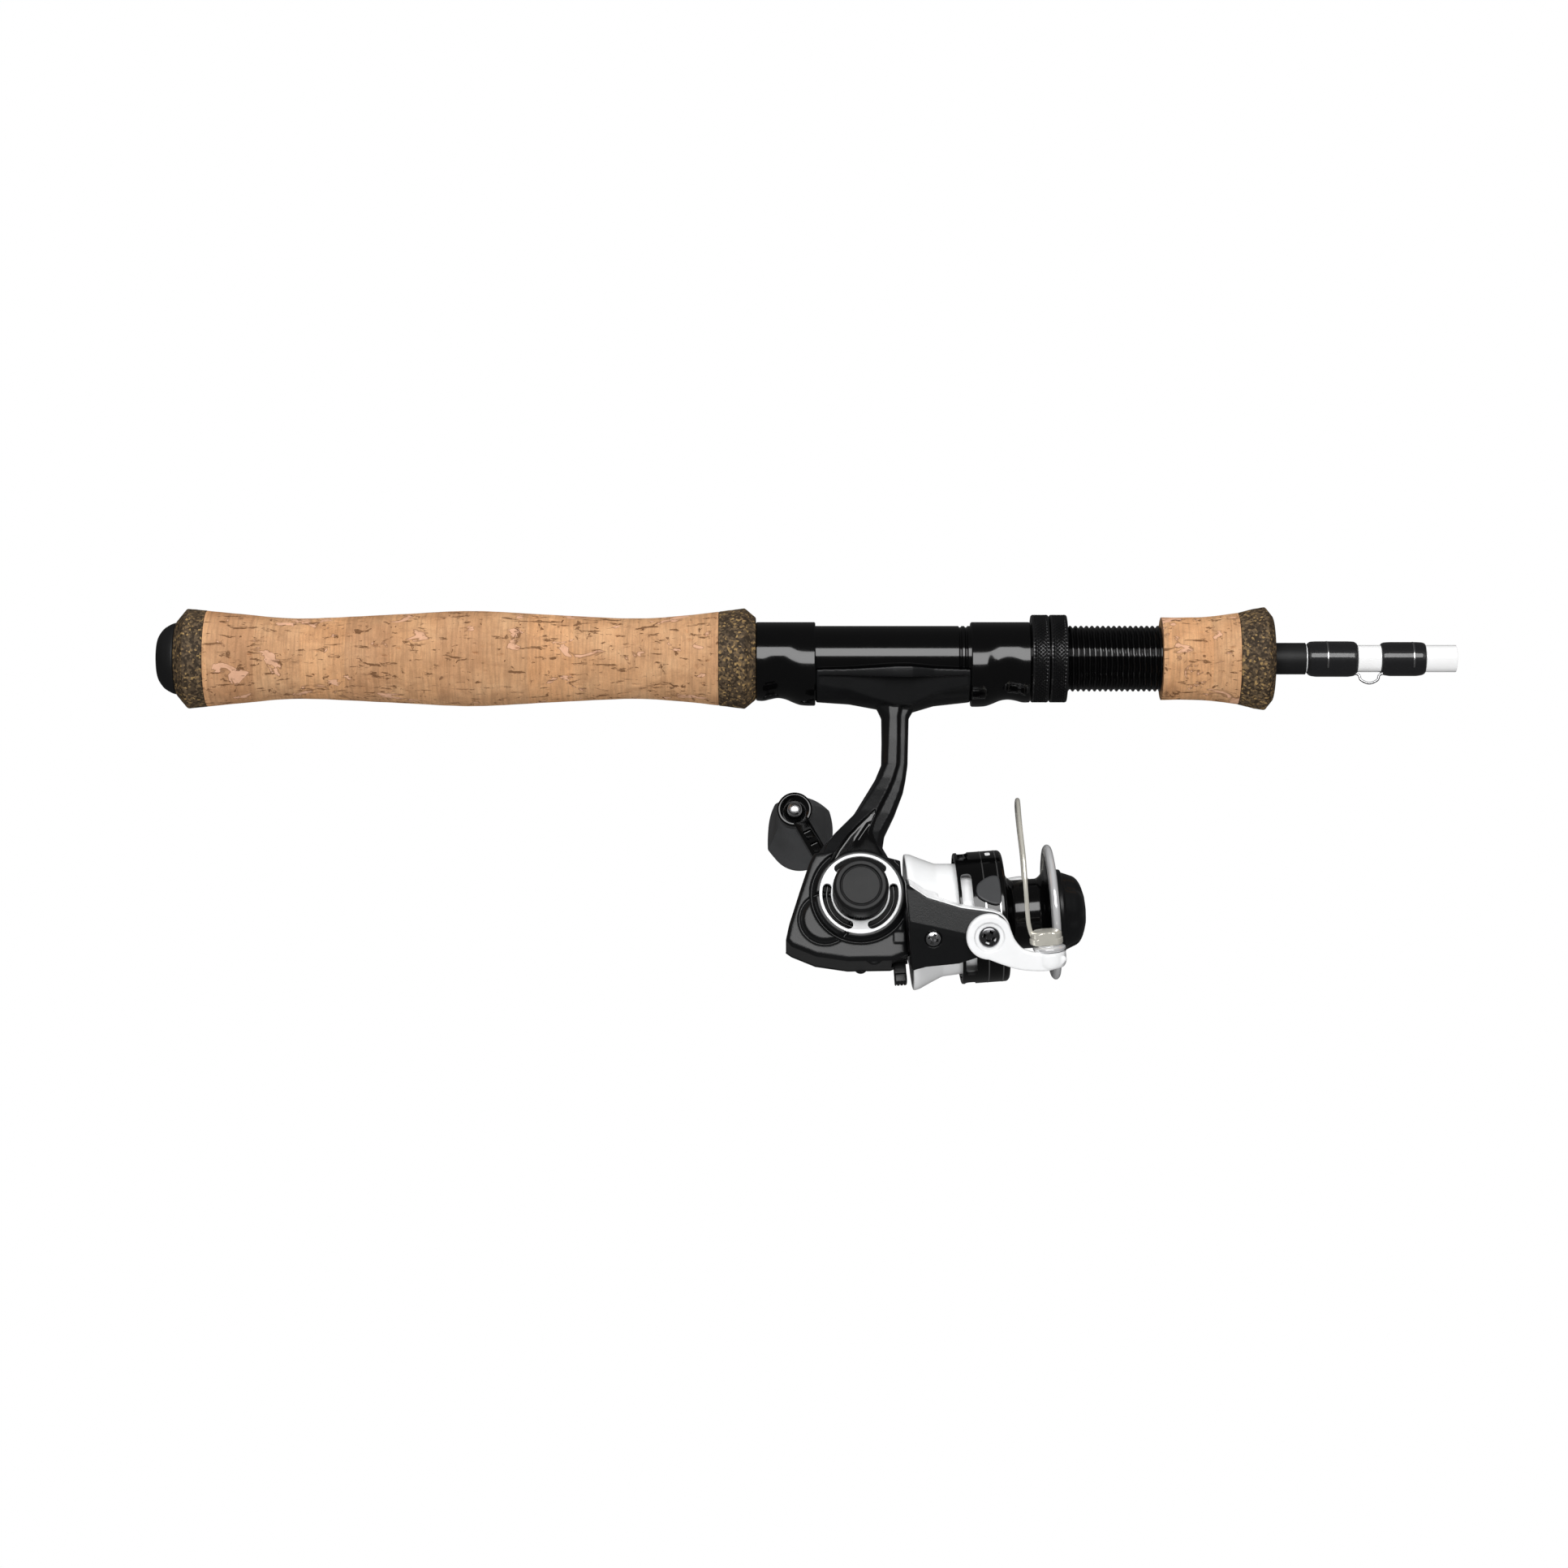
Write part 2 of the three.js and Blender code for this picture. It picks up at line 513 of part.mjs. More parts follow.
function buildRotor() {
  const bell = turned([
    [-19.1, 16.9], [-19.1, 18.4], [-14.2, 16.6], [-11, 15.2], [-5.3, 14.8], [0.8, 14.6], [0.8, 13.2],
    [-6.5, 13.2], [-6.5, 3.05], [-10.5, 3.05], [-10.5, 6.5], [-8.6, 6.5], [-8.6, 13.3], [-14.2, 15],
  ], MANY_SIDES);
  const farArm = rotorArm().rotateX(Math.PI);
  add(rotorFrame, 'rotor', joined([bell, rotorArm(), farArm]), WHITE());
  const nut = joined([rod(-6.2, -3.9, 5, 6)], [rod(-7, -3, 3.1)]);
  add(rotorFrame, 'rotor_nut', nut, STEEL());
  const pinion = joined(
    [gear(PINION_TEETH, 2.3, 2.9, -27.4, -23.2), rod(-24, -3.6, 2.9)],
    [rod(-28, -3, SPINDLE_RADIUS + 0.12)],
  );
  add(rotorFrame, 'pinion', pinion, BRASS());
}

function armCover() {
  const y1 = -ARM_OUTER - CLEARANCE;
  const shell = plate(armOutline(0.5), -ARM_COVER_OUTER, y1, 0.8);
  const base = plate(armOutline(0.5), -ARM_COVER_OUTER + 1, y1);
  const springSpace = block(-12, -3.4, y1 - 1.4, y1 + 1, 0.6, 3.4);
  const screwRecess = moved(rod(-25, -23.2, 2.25, FEW_SIDES).rotateZ(Math.PI / 2), -13.8, 0, 0);
  const screwHole = moved(rod(-25, -20, 1.15, FEW_SIDES).rotateZ(Math.PI / 2), -13.8, 0, 0);
  return joined([shell, base], [pivotBore(1.8), springSpace, screwRecess, screwHole]);
}

function buildArmCovers() {
  const screw = () => turned([
    [-24.1, 0], [-24.1, 1.6], [-23.4, 2.1], [-23.4, 1], [-19.4, 1], [-19.4, 0],
  ], FEW_SIDES).rotateZ(Math.PI / 2).translate(-13.8, 0, 0);
  add(rotorFrame, 'arm_cover_near', armCover(), SATIN_BLACK());
  add(rotorFrame, 'arm_cover_far', armCover().rotateX(Math.PI), SATIN_BLACK());
  add(rotorFrame, 'arm_cover_screw_near', screw(), STEEL());
  add(rotorFrame, 'arm_cover_screw_far', screw().rotateX(Math.PI), STEEL());
  const coils = [];
  const turns = 5;
  const stepsPerTurn = 8;
  for (let i = 0; i <= turns * stepsPerTurn; i += 1) {
    const angle = (2 * Math.PI * i) / stepsPerTurn;
    const along = -11.2 + (6.8 * i) / (turns * stepsPerTurn);
    coils.push([along, -22.42 + 0.4 * Math.cos(angle), 2 + 0.8 * Math.sin(angle)]);
  }
  add(rotorFrame, 'bail_spring', wire(coils, 0.16, turns * stepsPerTurn, 4), STEEL());
}

function pivotScrew() {
  return turned([
    [-27.3, 0], [-27.3, 2.4], [-26.9, 2.85], [-26.35, 2.85], [-26.35, 1.5], [-19.2, 1.5], [-19.2, 0],
  ], FEW_SIDES).rotateZ(Math.PI / 2).translate(BAIL_PIVOT, 0, 0);
}

// Moves a solid turned about X onto the line roller's axis.
function atRoller(geometry) {
  return geometry.rotateY(-Math.PI / 2).translate(ROLLER.axial, -ROLLER.radial, 0);
}

// The lever that carries the line roller: a flat boss on the pivot and a bent arm with a round end.
function buildBailArm() {
  const lever = plate([
    [3.5, 5.3], [5.9, 3.4], [7.4, -1], [9.2, -3.6], [10.8, -4.6], [12.2, -5.3], [17.2, -5.5], [20.4, -6.6],
    [20.9, -7.8], [19.5, -9], [16.9, -10.1], [12.9, -10.1], [8, -9.3], [4, -7.8], [0.5, -5.9], [0, 0],
  ], -27, -24.4, 0.5);
  const boss = moved(rod(-27, -24.4, 6.1, MANY_SIDES).rotateZ(Math.PI / 2), BAIL_PIVOT, 0, 0);
  const cup = atRoller(rod(-9.8, -5.4, 4.3));
  const recess = moved(rod(-28, -26.2, 4).rotateZ(Math.PI / 2), BAIL_PIVOT, 0, 0);
  const pinHole = atRoller(rod(-9, -5, 1.35, FEW_SIDES));
  add(rotorFrame, 'bail_arm', joined([lever, boss, cup], [recess, pivotBore(1.65), pinHole]), WHITE());
  add(rotorFrame, 'bail_pivot_screw_near', pivotScrew(), STEEL());
}

function buildBailHolder() {
  const lever = plate([
    [2, -5.2], [11, -1.2], [15.8, 1.2], [16.6, 3.4], [15.2, 5], [11, 4.8], [2.5, 5.2],
  ], 24.4, 26.8, 0.5);
  const boss = moved(rod(24.4, 26.8, 5.6).rotateZ(Math.PI / 2), BAIL_PIVOT, 0, 0);
  const recess = moved(rod(26.2, 28, 3.4).rotateZ(Math.PI / 2), BAIL_PIVOT, 0, 0);
  const bore = pivotBore(1.65).rotateX(Math.PI);
  add(rotorFrame, 'bail_holder', joined([lever, boss], [recess, bore]), WHITE());
  add(rotorFrame, 'bail_pivot_screw_far', pivotScrew().rotateX(Math.PI), STEEL());
}

function buildBailWire() {
  add(rotorFrame, 'bail_wire', joined([wire([
    [12.3, -23.5, -1.2], [11.6, -23.6, 1.5], [11.4, -23.6, 4], [11.35, -22.8, 12], [11.45, -20, 19.6],
    [11.5, -13.5, 26.6], [12.3, 0, 30.9], [12.95, 13.5, 27], [13.65, 20.5, 20], [14.3, 23.2, 12],
    [14.5, 23.7, 6.5], [14.5, 23.6, 3],
  ], BAIL_WIRE, 30, 6)]), CHROME());
}

function buildLineRoller() {
  const roller = turned([
    [-5.2, 1.35], [-5.2, 4.1], [-4.7, ROLLER.radius], [-3.9, ROLLER.radius], [-3.4, 3.4],
    [-2.9, 3.6], [-2.9, 1.35],
  ]);
  add(rotorFrame, 'line_roller', atRoller(roller), BRASS());
  const cap = turned([
    [-8.8, 0], [-8.8, 1.2], [-2.7, 1.2], [-2.7, 3.7], [-0.6, 3.7], [0.3, 2.9], [0.6, 0],
  ]);
  add(rotorFrame, 'roller_cap', atRoller(cap), CHROME());
}

function buildSpool() {
  add(spoolFrame, 'spindle', rod(-41.9, 24, SPINDLE_RADIUS), STEEL());
  add(spoolFrame, 'spool', turned([
    [-5.9, 16.4], [-5.9, SKIRT_RADIUS], [6.2, SKIRT_RADIUS], [6.9, 17], [7.6, 10.6], [8.9, ARBOR_RADIUS],
    [16.4, ARBOR_RADIUS], [17.6, 10.6], [18.2, 15.8], [19.9, 15.8], [20.2, 12.2], [20.2, 7.6], [11, 7.6],
    [11, 1.65], [3, 1.65], [3, 4.2], [5.2, 4.2], [5.2, 16.4],
  ], MANY_SIDES), GLOSS_BLACK());
  add(spoolFrame, 'spool_lip', turned([
    [18.3, 16], [18.5, 17.8], [19.5, LIP_RADIUS], [20.4, 17.8], [20.7, 16],
  ], MANY_SIDES), CHROME());
  const clip = plate([[-0.6, -1.6], [4.6, -3.4], [5, 0], [4.6, 3.4], [-0.6, 1.6]], -18.35, -17.8);
  add(spoolFrame, 'line_clip', clip.rotateX(THREE.MathUtils.degToRad(-9)), MATT_BLACK());
  add(spoolFrame, 'drag_washers', ring(11.3, 14.6, 1.65, 7.3), MATT_BLACK());
  const knob = turned([
    [15, 0], [15, 6.4], [20.5, 6.4], [20.5, 11], [20.9, 11.4], [22.3, 11.3], [22.5, 10.5], [26.3, 8.9],
    [28, 6.5], [29, 0],
  ]);
  const grips = [];
  for (let i = 0; i < 6; i += 1) {
    grips.push(moved(rod(22.6, 31, 2.4, FEW_SIDES), 0, 0, 12).rotateX((Math.PI * i) / 3));
  }
  const bore = rod(14, 24.4, SPINDLE_RADIUS + 0.15);
  add(spoolFrame, 'drag_knob', joined([knob], [bore, ...grips]), SATIN_BLACK());
}

buildRearGrip();
buildSeat();
buildHoodsAndNuts();
buildForeGrip();
buildBlank();
buildFrame();
buildCover();
buildSideRing();
buildBearings();
buildAntiReverseLever();
buildDrive();
buildOscillation();
buildCrank();
buildRotor();
buildArmCovers();
buildBailArm();
buildBailHolder();
buildBailWire();
buildLineRoller();
buildSpool();

export default model;
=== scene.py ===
from contextlib import contextmanager
import json
import math

import bmesh
import bpy
from mathutils import Matrix, Vector, noise


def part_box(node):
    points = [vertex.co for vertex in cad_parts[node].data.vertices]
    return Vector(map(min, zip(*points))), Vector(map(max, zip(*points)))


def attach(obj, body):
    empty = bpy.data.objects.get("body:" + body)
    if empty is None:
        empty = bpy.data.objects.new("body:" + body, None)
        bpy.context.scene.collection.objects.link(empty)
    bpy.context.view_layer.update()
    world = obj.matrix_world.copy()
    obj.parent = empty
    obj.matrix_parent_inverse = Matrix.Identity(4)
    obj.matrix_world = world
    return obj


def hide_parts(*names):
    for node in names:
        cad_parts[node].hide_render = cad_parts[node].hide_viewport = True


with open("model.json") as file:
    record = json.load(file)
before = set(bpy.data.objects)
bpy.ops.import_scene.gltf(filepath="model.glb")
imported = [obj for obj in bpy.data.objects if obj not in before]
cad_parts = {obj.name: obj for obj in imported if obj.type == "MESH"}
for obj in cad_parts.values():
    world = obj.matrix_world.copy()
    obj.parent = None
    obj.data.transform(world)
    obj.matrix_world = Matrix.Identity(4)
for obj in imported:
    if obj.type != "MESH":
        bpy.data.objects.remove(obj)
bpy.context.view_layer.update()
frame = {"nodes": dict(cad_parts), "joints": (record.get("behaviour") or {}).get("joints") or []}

# ---------------------------------------------------------------- units, frames and driving sizes
# Sizes are millimetres; every mesh is scaled to metres when it is made.
MM = 0.001
TAU = 2 * math.pi
ROD = "rod_and_frame"

SEAT_RADIUS = 8.95
SEAT_BORE = 7.6
THREAD_START = 39.0
THREAD_PITCH = 1.5
THREAD_DEPTH = 0.62
HOOD_RADIUS = 10.0
HOOD_LENGTH = 16.2
HOOD_MOUTH = 21.2  # from the foot's middle
FOOT_OFFSET = -3.0  # the axis of the foot's round, from the rod's
NUT_RADIUS = 12.0
BLANK_RADIUS = 3.7
BLANK_BORE = 3.0
WRAP_BORE = 3.78
GRIP_BORE = 3.9
BURL_BORE = 4.2
CORK_RING = 12.4  # length of one glued ring of cork
CASE_NEAR = -12.0  # the gear case's walls, along Y
CASE_FAR = 7.5
CHANNEL_INNER = 6.7  # the channel behind the trim ring
CHANNEL_OUTER = 11.2
LOBE_X, LOBE_Z = -18.8, -75.9
BEARING_SEAT = 5.15
SHAFT_HOLE = 2.9
SHAFT_BORE = 2.65
PIVOT_X = 0.8  # the bail's pivot, along the rotor
PIVOT_BORE = 1.65
ARM_SCREW_X = -13.8
ARM_SCREW_BORE = 1.15
ARM_OUTER = 21.5
COVER_OUTER = 24.0


def low(node):
    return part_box(node)[0] / MM


def high(node):
    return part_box(node)[1] / MM


def clamp(value):
    return min(1.0, max(0.0, value))


def basis(origin, x_axis, y_axis):
    """The matrix of a frame whose origin is given in metres, with those two axes."""
    x = Vector(x_axis).normalized()
    y = Vector(y_axis).normalized()
    z = x.cross(y)
    rotation = Matrix((x, y, z)).transposed().to_4x4()
    return Matrix.Translation(Vector(origin) / MM) @ rotation


def shifted(place, x=0, y=0, z=0):
    return place @ Matrix.Translation((x, y, z))


def turned(place, angle, axis="X"):
    return place @ Matrix.Rotation(angle, 4, axis)


WORLD = Matrix.Identity(4)


def along_y(x, z, place=WORLD):
    """A frame whose X runs along Y of the given frame, through the point (x, z)."""
    return turned(shifted(place, x, 0, z), math.pi / 2, "Z")


JOINTS = {joint["name"]: joint for joint in frame["joints"]}
PLACES = {name: joint["pos_m"] for name, joint in JOINTS.items() if "pos_m" in joint}
SPIN_AXIS = JOINTS["rotor_spin"]["axis"]
SPOOL = basis(PLACES["rotor_spin"], SPIN_AXIS, (0, 1, 0))
ROTOR = basis(PLACES["rotor_spin"], SPIN_AXIS, JOINTS["bail_open"]["axis"])
ROTOR_SIDES = {"near": ROTOR, "far": turned(ROTOR, math.pi)}
AXLE = basis(PLACES["handle_turn"], (0, 1, 0), (-1, 0, 0))
AXLE_PLACE = Vector(PLACES["handle_turn"]) / MM
AXLE_HOLE = along_y(AXLE_PLACE.x, AXLE_PLACE.z)
LOBE = along_y(LOBE_X, LOBE_Z)
KNOB_PLACE = Vector(PLACES["knob_spin"]) / MM
CRANK_REACH = Vector((KNOB_PLACE.x - AXLE_PLACE.x, 0, KNOB_PLACE.z - AXLE_PLACE.z))
CRANK = basis(PLACES["handle_turn"], (0, 1, 0), CRANK_REACH.normalized().cross(Vector((0, 1, 0))))
CRANK_TIP = shifted(CRANK, z=CRANK_REACH.length)
ROLLER_PLACE = ROTOR.inverted() @ (Vector(PLACES["line_roller_spin"]) / MM)
ROLLER = turned(shifted(ROTOR, ROLLER_PLACE.x, ROLLER_PLACE.y), -math.pi / 2, "Y")


# ---------------------------------------------------------------- camera, light and floor
def put(name, data):
    """A new object in the scene."""
    made = bpy.data.objects.new(name, data)
    bpy.context.scene.collection.objects.link(made)
    return made


def make_camera():
    """Seen from below the rod at the photograph's angle, from a little over a metre."""
    degrees_below = 15
    data = bpy.data.cameras.new("camera")
    data.sensor_width = 36
    data.lens = 96.9
    data.clip_start = 0.05
    data.clip_end = 20
    camera = put("camera", data)
    camera.location = Vector((-29.75, -1106.2, -331.9)) * MM
    camera.rotation_euler = (math.radians(90 + degrees_below), 0, 0)
    bpy.context.scene.camera = camera


def area_light(name, place, target, size, power, reflected=True):
    data = bpy.data.lights.new(name, "AREA")
    data.shape = "RECTANGLE"
    data.size = size[0] * MM
    data.size_y = size[1] * MM
    data.energy = power
    light = put(name, data)
    light.location = Vector(place) * MM
    direction = (Vector(target) - Vector(place)).normalized()
    light.rotation_euler = direction.to_track_quat("-Z", "Y").to_euler()
    light.visible_camera = False
    light.visible_glossy = reflected


def make_world():
    """A dim room: the picture's ground is plain white, and little of it falls on the object."""
    world = bpy.data.worlds.new("studio")
    world.use_nodes = True
    tree = world.node_tree
    seen = tree.nodes.new("ShaderNodeLightPath")
    mix = tree.nodes.new("ShaderNodeMixShader")
    tree.links.new(seen.outputs["Is Camera Ray"], mix.inputs["Fac"])
    room, ground = tree.nodes["Background"], tree.nodes.new("ShaderNodeBackground")
    for socket, shader, strength in ((1, room, 0.07), (2, ground, 1.0)):
        shader.inputs["Color"].default_value = (1, 1, 1, 1)
        shader.inputs["Strength"].default_value = strength
        tree.links.new(shader.outputs[0], mix.inputs[socket])
    tree.links.new(mix.outputs[0], tree.nodes["World Output"].inputs["Surface"])
    bpy.context.scene.world = world


def make_floor():
    """A pale lit table far below, which lights the undersides."""
    half, depth = 0.65, -1.25
    mesh = bpy.data.meshes.new("floor")
    corners = [(-half, -half, depth), (half, -half, depth), (half, half, depth), (-half, half, depth)]
    mesh.from_pydata(corners, [], [(0, 1, 2, 3)])
    pale = Shader("pale_floor", (0.9, 0.9, 0.9), 0.9, Emission_Color=(1, 1, 1, 1), Emission_Strength=1.6)
    mesh.materials.append(pale.material)
    floor = put("floor", mesh)
    floor.visible_glossy = False


def make_studio():
    """Only the front softbox shows in reflections, so black parts stay black but for its highlight."""
    make_world()
    make_floor()
    bpy.context.scene.view_settings.view_transform = "Standard"
    area_light("front_softbox", (-30, -1150, 125), (-30, 0, 0), (1100, 560), 11)
    area_light("fill", (-30, -1150, -150), (-30, 0, 0), (1300, 700), 2.5, False)
    area_light("top_softbox", (-30, -600, 1040), (-30, 0, 0), (1300, 900), 7.6, False)
    area_light("back_softbox", (200, 1100, 500), (0, 0, -20), (900, 500), 5.0, False)


# ---------------------------------------------------------------- materials
class Shader:
    """A material under construction: short calls that add and join nodes."""

    def __init__(self, name, color, roughness, metallic=0.0, **sockets):
        self.material = bpy.data.materials.new(name)
        self.material.use_nodes = True
        self.tree = self.material.node_tree
        self.bsdf = self.tree.nodes["Principled BSDF"]
        self.coordinates = None
        sockets.update(Base_Color=(*color, 1), Roughness=roughness, Metallic=metallic)
        for key, value in sockets.items():
            self.bsdf.inputs[key.replace("_", " ")].default_value = value

    def feed(self, socket, value):
        """Links an output to the socket, or sets the socket's own number or colour."""
        if isinstance(value, bpy.types.NodeSocket):
            self.tree.links.new(value, socket)
        elif isinstance(value, tuple):
            socket.default_value = (*value, 1)
        else:
            socket.default_value = value

    def node(self, kind, inputs=None, **settings):
        made = self.tree.nodes.new(kind)
        for key, value in settings.items():
            setattr(made, key, value)
        for key, value in (inputs or {}).items():
            self.feed(made.inputs[key], value)
        return made

    def place(self, stretch=(1, 1, 1), shift=(0, 0, 0)):
        """Object coordinates in millimetres, stretched along the axes."""
        if self.coordinates is None:
            self.coordinates = self.node("ShaderNodeTexCoord").outputs["Object"]
        mapping = self.node("ShaderNodeMapping", {"Vector": self.coordinates})
        mapping.inputs["Scale"].default_value = tuple(1000 * s for s in stretch)
        mapping.inputs["Location"].default_value = shift
        return mapping.outputs["Vector"]

    def noise(self, scale, detail=3, roughness=0.55, stretch=(1, 1, 1), shift=(0, 0, 0), warp=0.0):
        return self.node("ShaderNodeTexNoise", {
            "Vector": self.place(stretch, shift), "Scale": scale, "Detail": detail,
            "Roughness": roughness, "Distortion": warp}).outputs["Fac"]

    def ramp(self, source, stops, mode="LINEAR"):
        made = self.node("ShaderNodeValToRGB", {"Fac": source})
        made.color_ramp.interpolation = mode
        while len(made.color_ramp.elements) < len(stops):
            made.color_ramp.elements.new(0.5)
        for element, (place, color) in zip(made.color_ramp.elements, stops):
            element.position = place
            element.color = (*color, 1) if isinstance(color, tuple) else (color, color, color, 1)
        return made.outputs["Color"]

    def mix(self, factor, first, second, blend="MIX"):
        inputs = {0: factor, 6: first, 7: second}
        return self.node("ShaderNodeMix", inputs, data_type="RGBA", blend_type=blend).outputs[2]

    def math(self, operation, first, second=0.0):
        return self.node("ShaderNodeMath", {0: first, 1: second}, operation=operation).outputs[0]

    def lay(self, tone, mask, strength, color):
        """Paints a colour over the tone where the mask is white."""
        return self.mix(self.math("MULTIPLY", mask, strength), tone, color)

    def color(self, source):
        self.feed(self.bsdf.inputs["Base Color"], source)

    def rough(self, source, lowest, highest):
        made = self.node("ShaderNodeMapRange", {"Value": source, "To Min": lowest, "To Max": highest})
        self.feed(self.bsdf.inputs["Roughness"], made.outputs["Result"])

    def bump(self, source, height, strength=1.0):
        """A bump whose full height is in millimetres."""
        made = self.node("ShaderNodeBump", {"Strength": strength, "Distance": height * MM, "Height": source})
        self.feed(self.bsdf.inputs["Normal"], made.outputs["Normal"])


make_camera()
make_studio()


def cork():
    s = Shader("cork", (0.62, 0.40, 0.22), 0.78, Specular_IOR_Level=0.25)
    tone = s.ramp(s.noise(0.11, 4, 0.6), [
        (0.25, (0.50, 0.27, 0.135)), (0.5, (0.60, 0.34, 0.18)), (0.78, (0.70, 0.43, 0.24))])
    # Each glued ring of cork has its own tint.
    across = s.node("ShaderNodeSeparateXYZ", {"Vector": s.place()})
    ring = s.math("FLOOR", s.math("DIVIDE", across.outputs["X"], CORK_RING))
    white = s.node("ShaderNodeTexWhiteNoise", noise_dimensions="1D")
    s.feed(white.inputs["W"], ring)
    tint = s.ramp(white.outputs["Value"], [
        (0.0, (0.92, 0.86, 0.82)), (0.5, (1.06, 1.05, 1.02)), (1.0, (1.16, 1.08, 0.98))])
    tone = s.mix(1.0, tone, tint, "MULTIPLY")
    # Growth lines run round the grip.
    grain = s.ramp(s.noise(0.9, 3, 0.6, (1.5, 0.1, 0.1)), [(0.38, 0.74), (0.56, 1.0)])
    tone = s.mix(0.8, tone, grain, "MULTIPLY")
    speckle = s.ramp(s.noise(2.6, 3, 0.7), [(0.3, 0.86), (0.62, 1.03)])
    tone = s.mix(0.8, tone, speckle, "MULTIPLY")
    # Filled patches are pale and pinkish, with a brown edge.
    patch = s.noise(0.15, 3, 0.62, (0.7, 1.2, 1.2), (3, 7, 1), 0.6)
    inside = s.ramp(patch, [(0.612, 0.0), (0.624, 1.0)])
    edge = s.ramp(patch, [(0.596, 0.0), (0.610, 1.0), (0.622, 1.0), (0.632, 0.0)])
    tone = s.lay(tone, inside, 0.8, (0.76, 0.44, 0.29))
    tone = s.lay(tone, edge, 0.7, (0.24, 0.12, 0.055))
    # Lenticels: thin dark streaks along the grip, and darker pits.
    streak = s.ramp(s.noise(0.42, 4, 0.66, (0.42, 1.7, 1.7), (11, 0, 5), 0.35), [(0.600, 0.0), (0.650, 1.0)])
    pit = s.ramp(s.noise(0.33, 4, 0.7, (0.85, 0.85, 0.85), (0, 19, 2), 0.5), [(0.625, 0.0), (0.665, 1.0)])
    dark = s.mix(1.0, streak, pit, "LIGHTEN")
    tone = s.lay(tone, dark, 0.85, (0.135, 0.060, 0.025))
    # Broad faint smudges of brown break up the even tone.
    smudge = s.ramp(s.noise(0.23, 4, 0.62, (0.8, 1.0, 1.0), (5, 2, 9), 0.8), [(0.50, 0.0), (0.70, 1.0)])
    s.color(s.lay(tone, smudge, 0.45, (0.36, 0.19, 0.095)))
    s.bump(s.mix(0.6, s.mix(1.0, (1, 1, 1), dark, "SUBTRACT"), speckle, "MULTIPLY"), 0.35, 0.7)
    s.rough(dark, 0.72, 0.95)
    return s.material


def burl():
    s = Shader("burl_cork", (0.1, 0.065, 0.04), 0.75, Specular_IOR_Level=0.3)
    grains = s.node("ShaderNodeTexVoronoi", {"Vector": s.place(), "Scale": 1.7})
    split = s.node("ShaderNodeSeparateColor", {"Color": grains.outputs["Color"]})
    tone = s.ramp(split.outputs["Red"], [
        (0.0, (0.040, 0.027, 0.016)), (0.35, (0.078, 0.053, 0.031)), (0.62, (0.125, 0.085, 0.048)),
        (0.82, (0.20, 0.13, 0.062)), (0.93, (0.34, 0.22, 0.09)), (1.0, (0.15, 0.125, 0.095)),
    ], "CONSTANT")
    soft = s.ramp(s.noise(0.8, 4, 0.7), [(0.3, 0.72), (0.7, 1.15)])
    s.color(s.mix(1.0, tone, soft, "MULTIPLY"))
    s.bump(s.mix(0.5, split.outputs["Green"], soft), 0.22, 0.6)
    return s.material


def times(color, factor):
    return tuple(c * factor for c in color)


def gloss(name, color, roughness, coat=0.0, speck=0.02, specular=0.5):
    """Smooth moulding or lacquer: fine orange peel, and a little haze in the gloss."""
    s = Shader(name, color, roughness, Specular_IOR_Level=specular, Coat_Weight=coat, Coat_Roughness=0.05)
    haze = s.noise(0.18, 4, 0.6)
    s.rough(haze, roughness * 0.75, roughness * 1.35)
    lighter = tuple(min(1.0, c * 1.12 + speck * 0.15) for c in color)
    s.color(s.mix(haze, color, lighter))
    s.bump(s.noise(0.35, 2), 0.004, 0.4)
    return s.material


def textured(name, color, roughness, grain=2.6, height=0.05, specular=0.35):
    """Satin paint or moulded plastic with a fine leathery grain."""
    s = Shader(name, color, roughness, Specular_IOR_Level=specular)
    fine = s.noise(grain, 3, 0.6)
    broad = s.noise(0.12, 3)
    s.color(s.mix(broad, times(color, 0.82), times(color, 1.25)))
    s.rough(broad, roughness * 0.85, roughness * 1.15)
    s.bump(fine, height, 0.6)
    return s.material


def metal(name, color, roughness, grain=(0.15, 3, 3), height=0.006, metallic=1.0):
    """Polished or machined metal with faint tool lines."""
    s = Shader(name, color, roughness, metallic)
    lines = s.noise(1.6, 3, 0.6, grain)
    s.rough(lines, roughness * 0.6, roughness * 1.5)
    s.color(s.mix(s.noise(0.2, 2), times(color, 0.92), color))
    s.bump(lines, height, 0.5)
    return s.material


def whipping():
    """Black thread, wound side by side, under a clear coat."""
    s = Shader("whipping", (0.006, 0.006, 0.007), 0.35, Coat_Weight=1.0, Coat_Roughness=0.03)
    wave = s.node("ShaderNodeTexWave", {"Vector": s.place(), "Scale": 1.7, "Distortion": 0.15},
                  wave_type="BANDS", bands_direction="X", wave_profile="SIN").outputs["Fac"]
    s.color(s.ramp(wave, [(0.0, (0.002, 0.002, 0.002)), (1.0, (0.016, 0.016, 0.018))]))
    s.bump(wave, 0.05, 0.7)
    return s.material


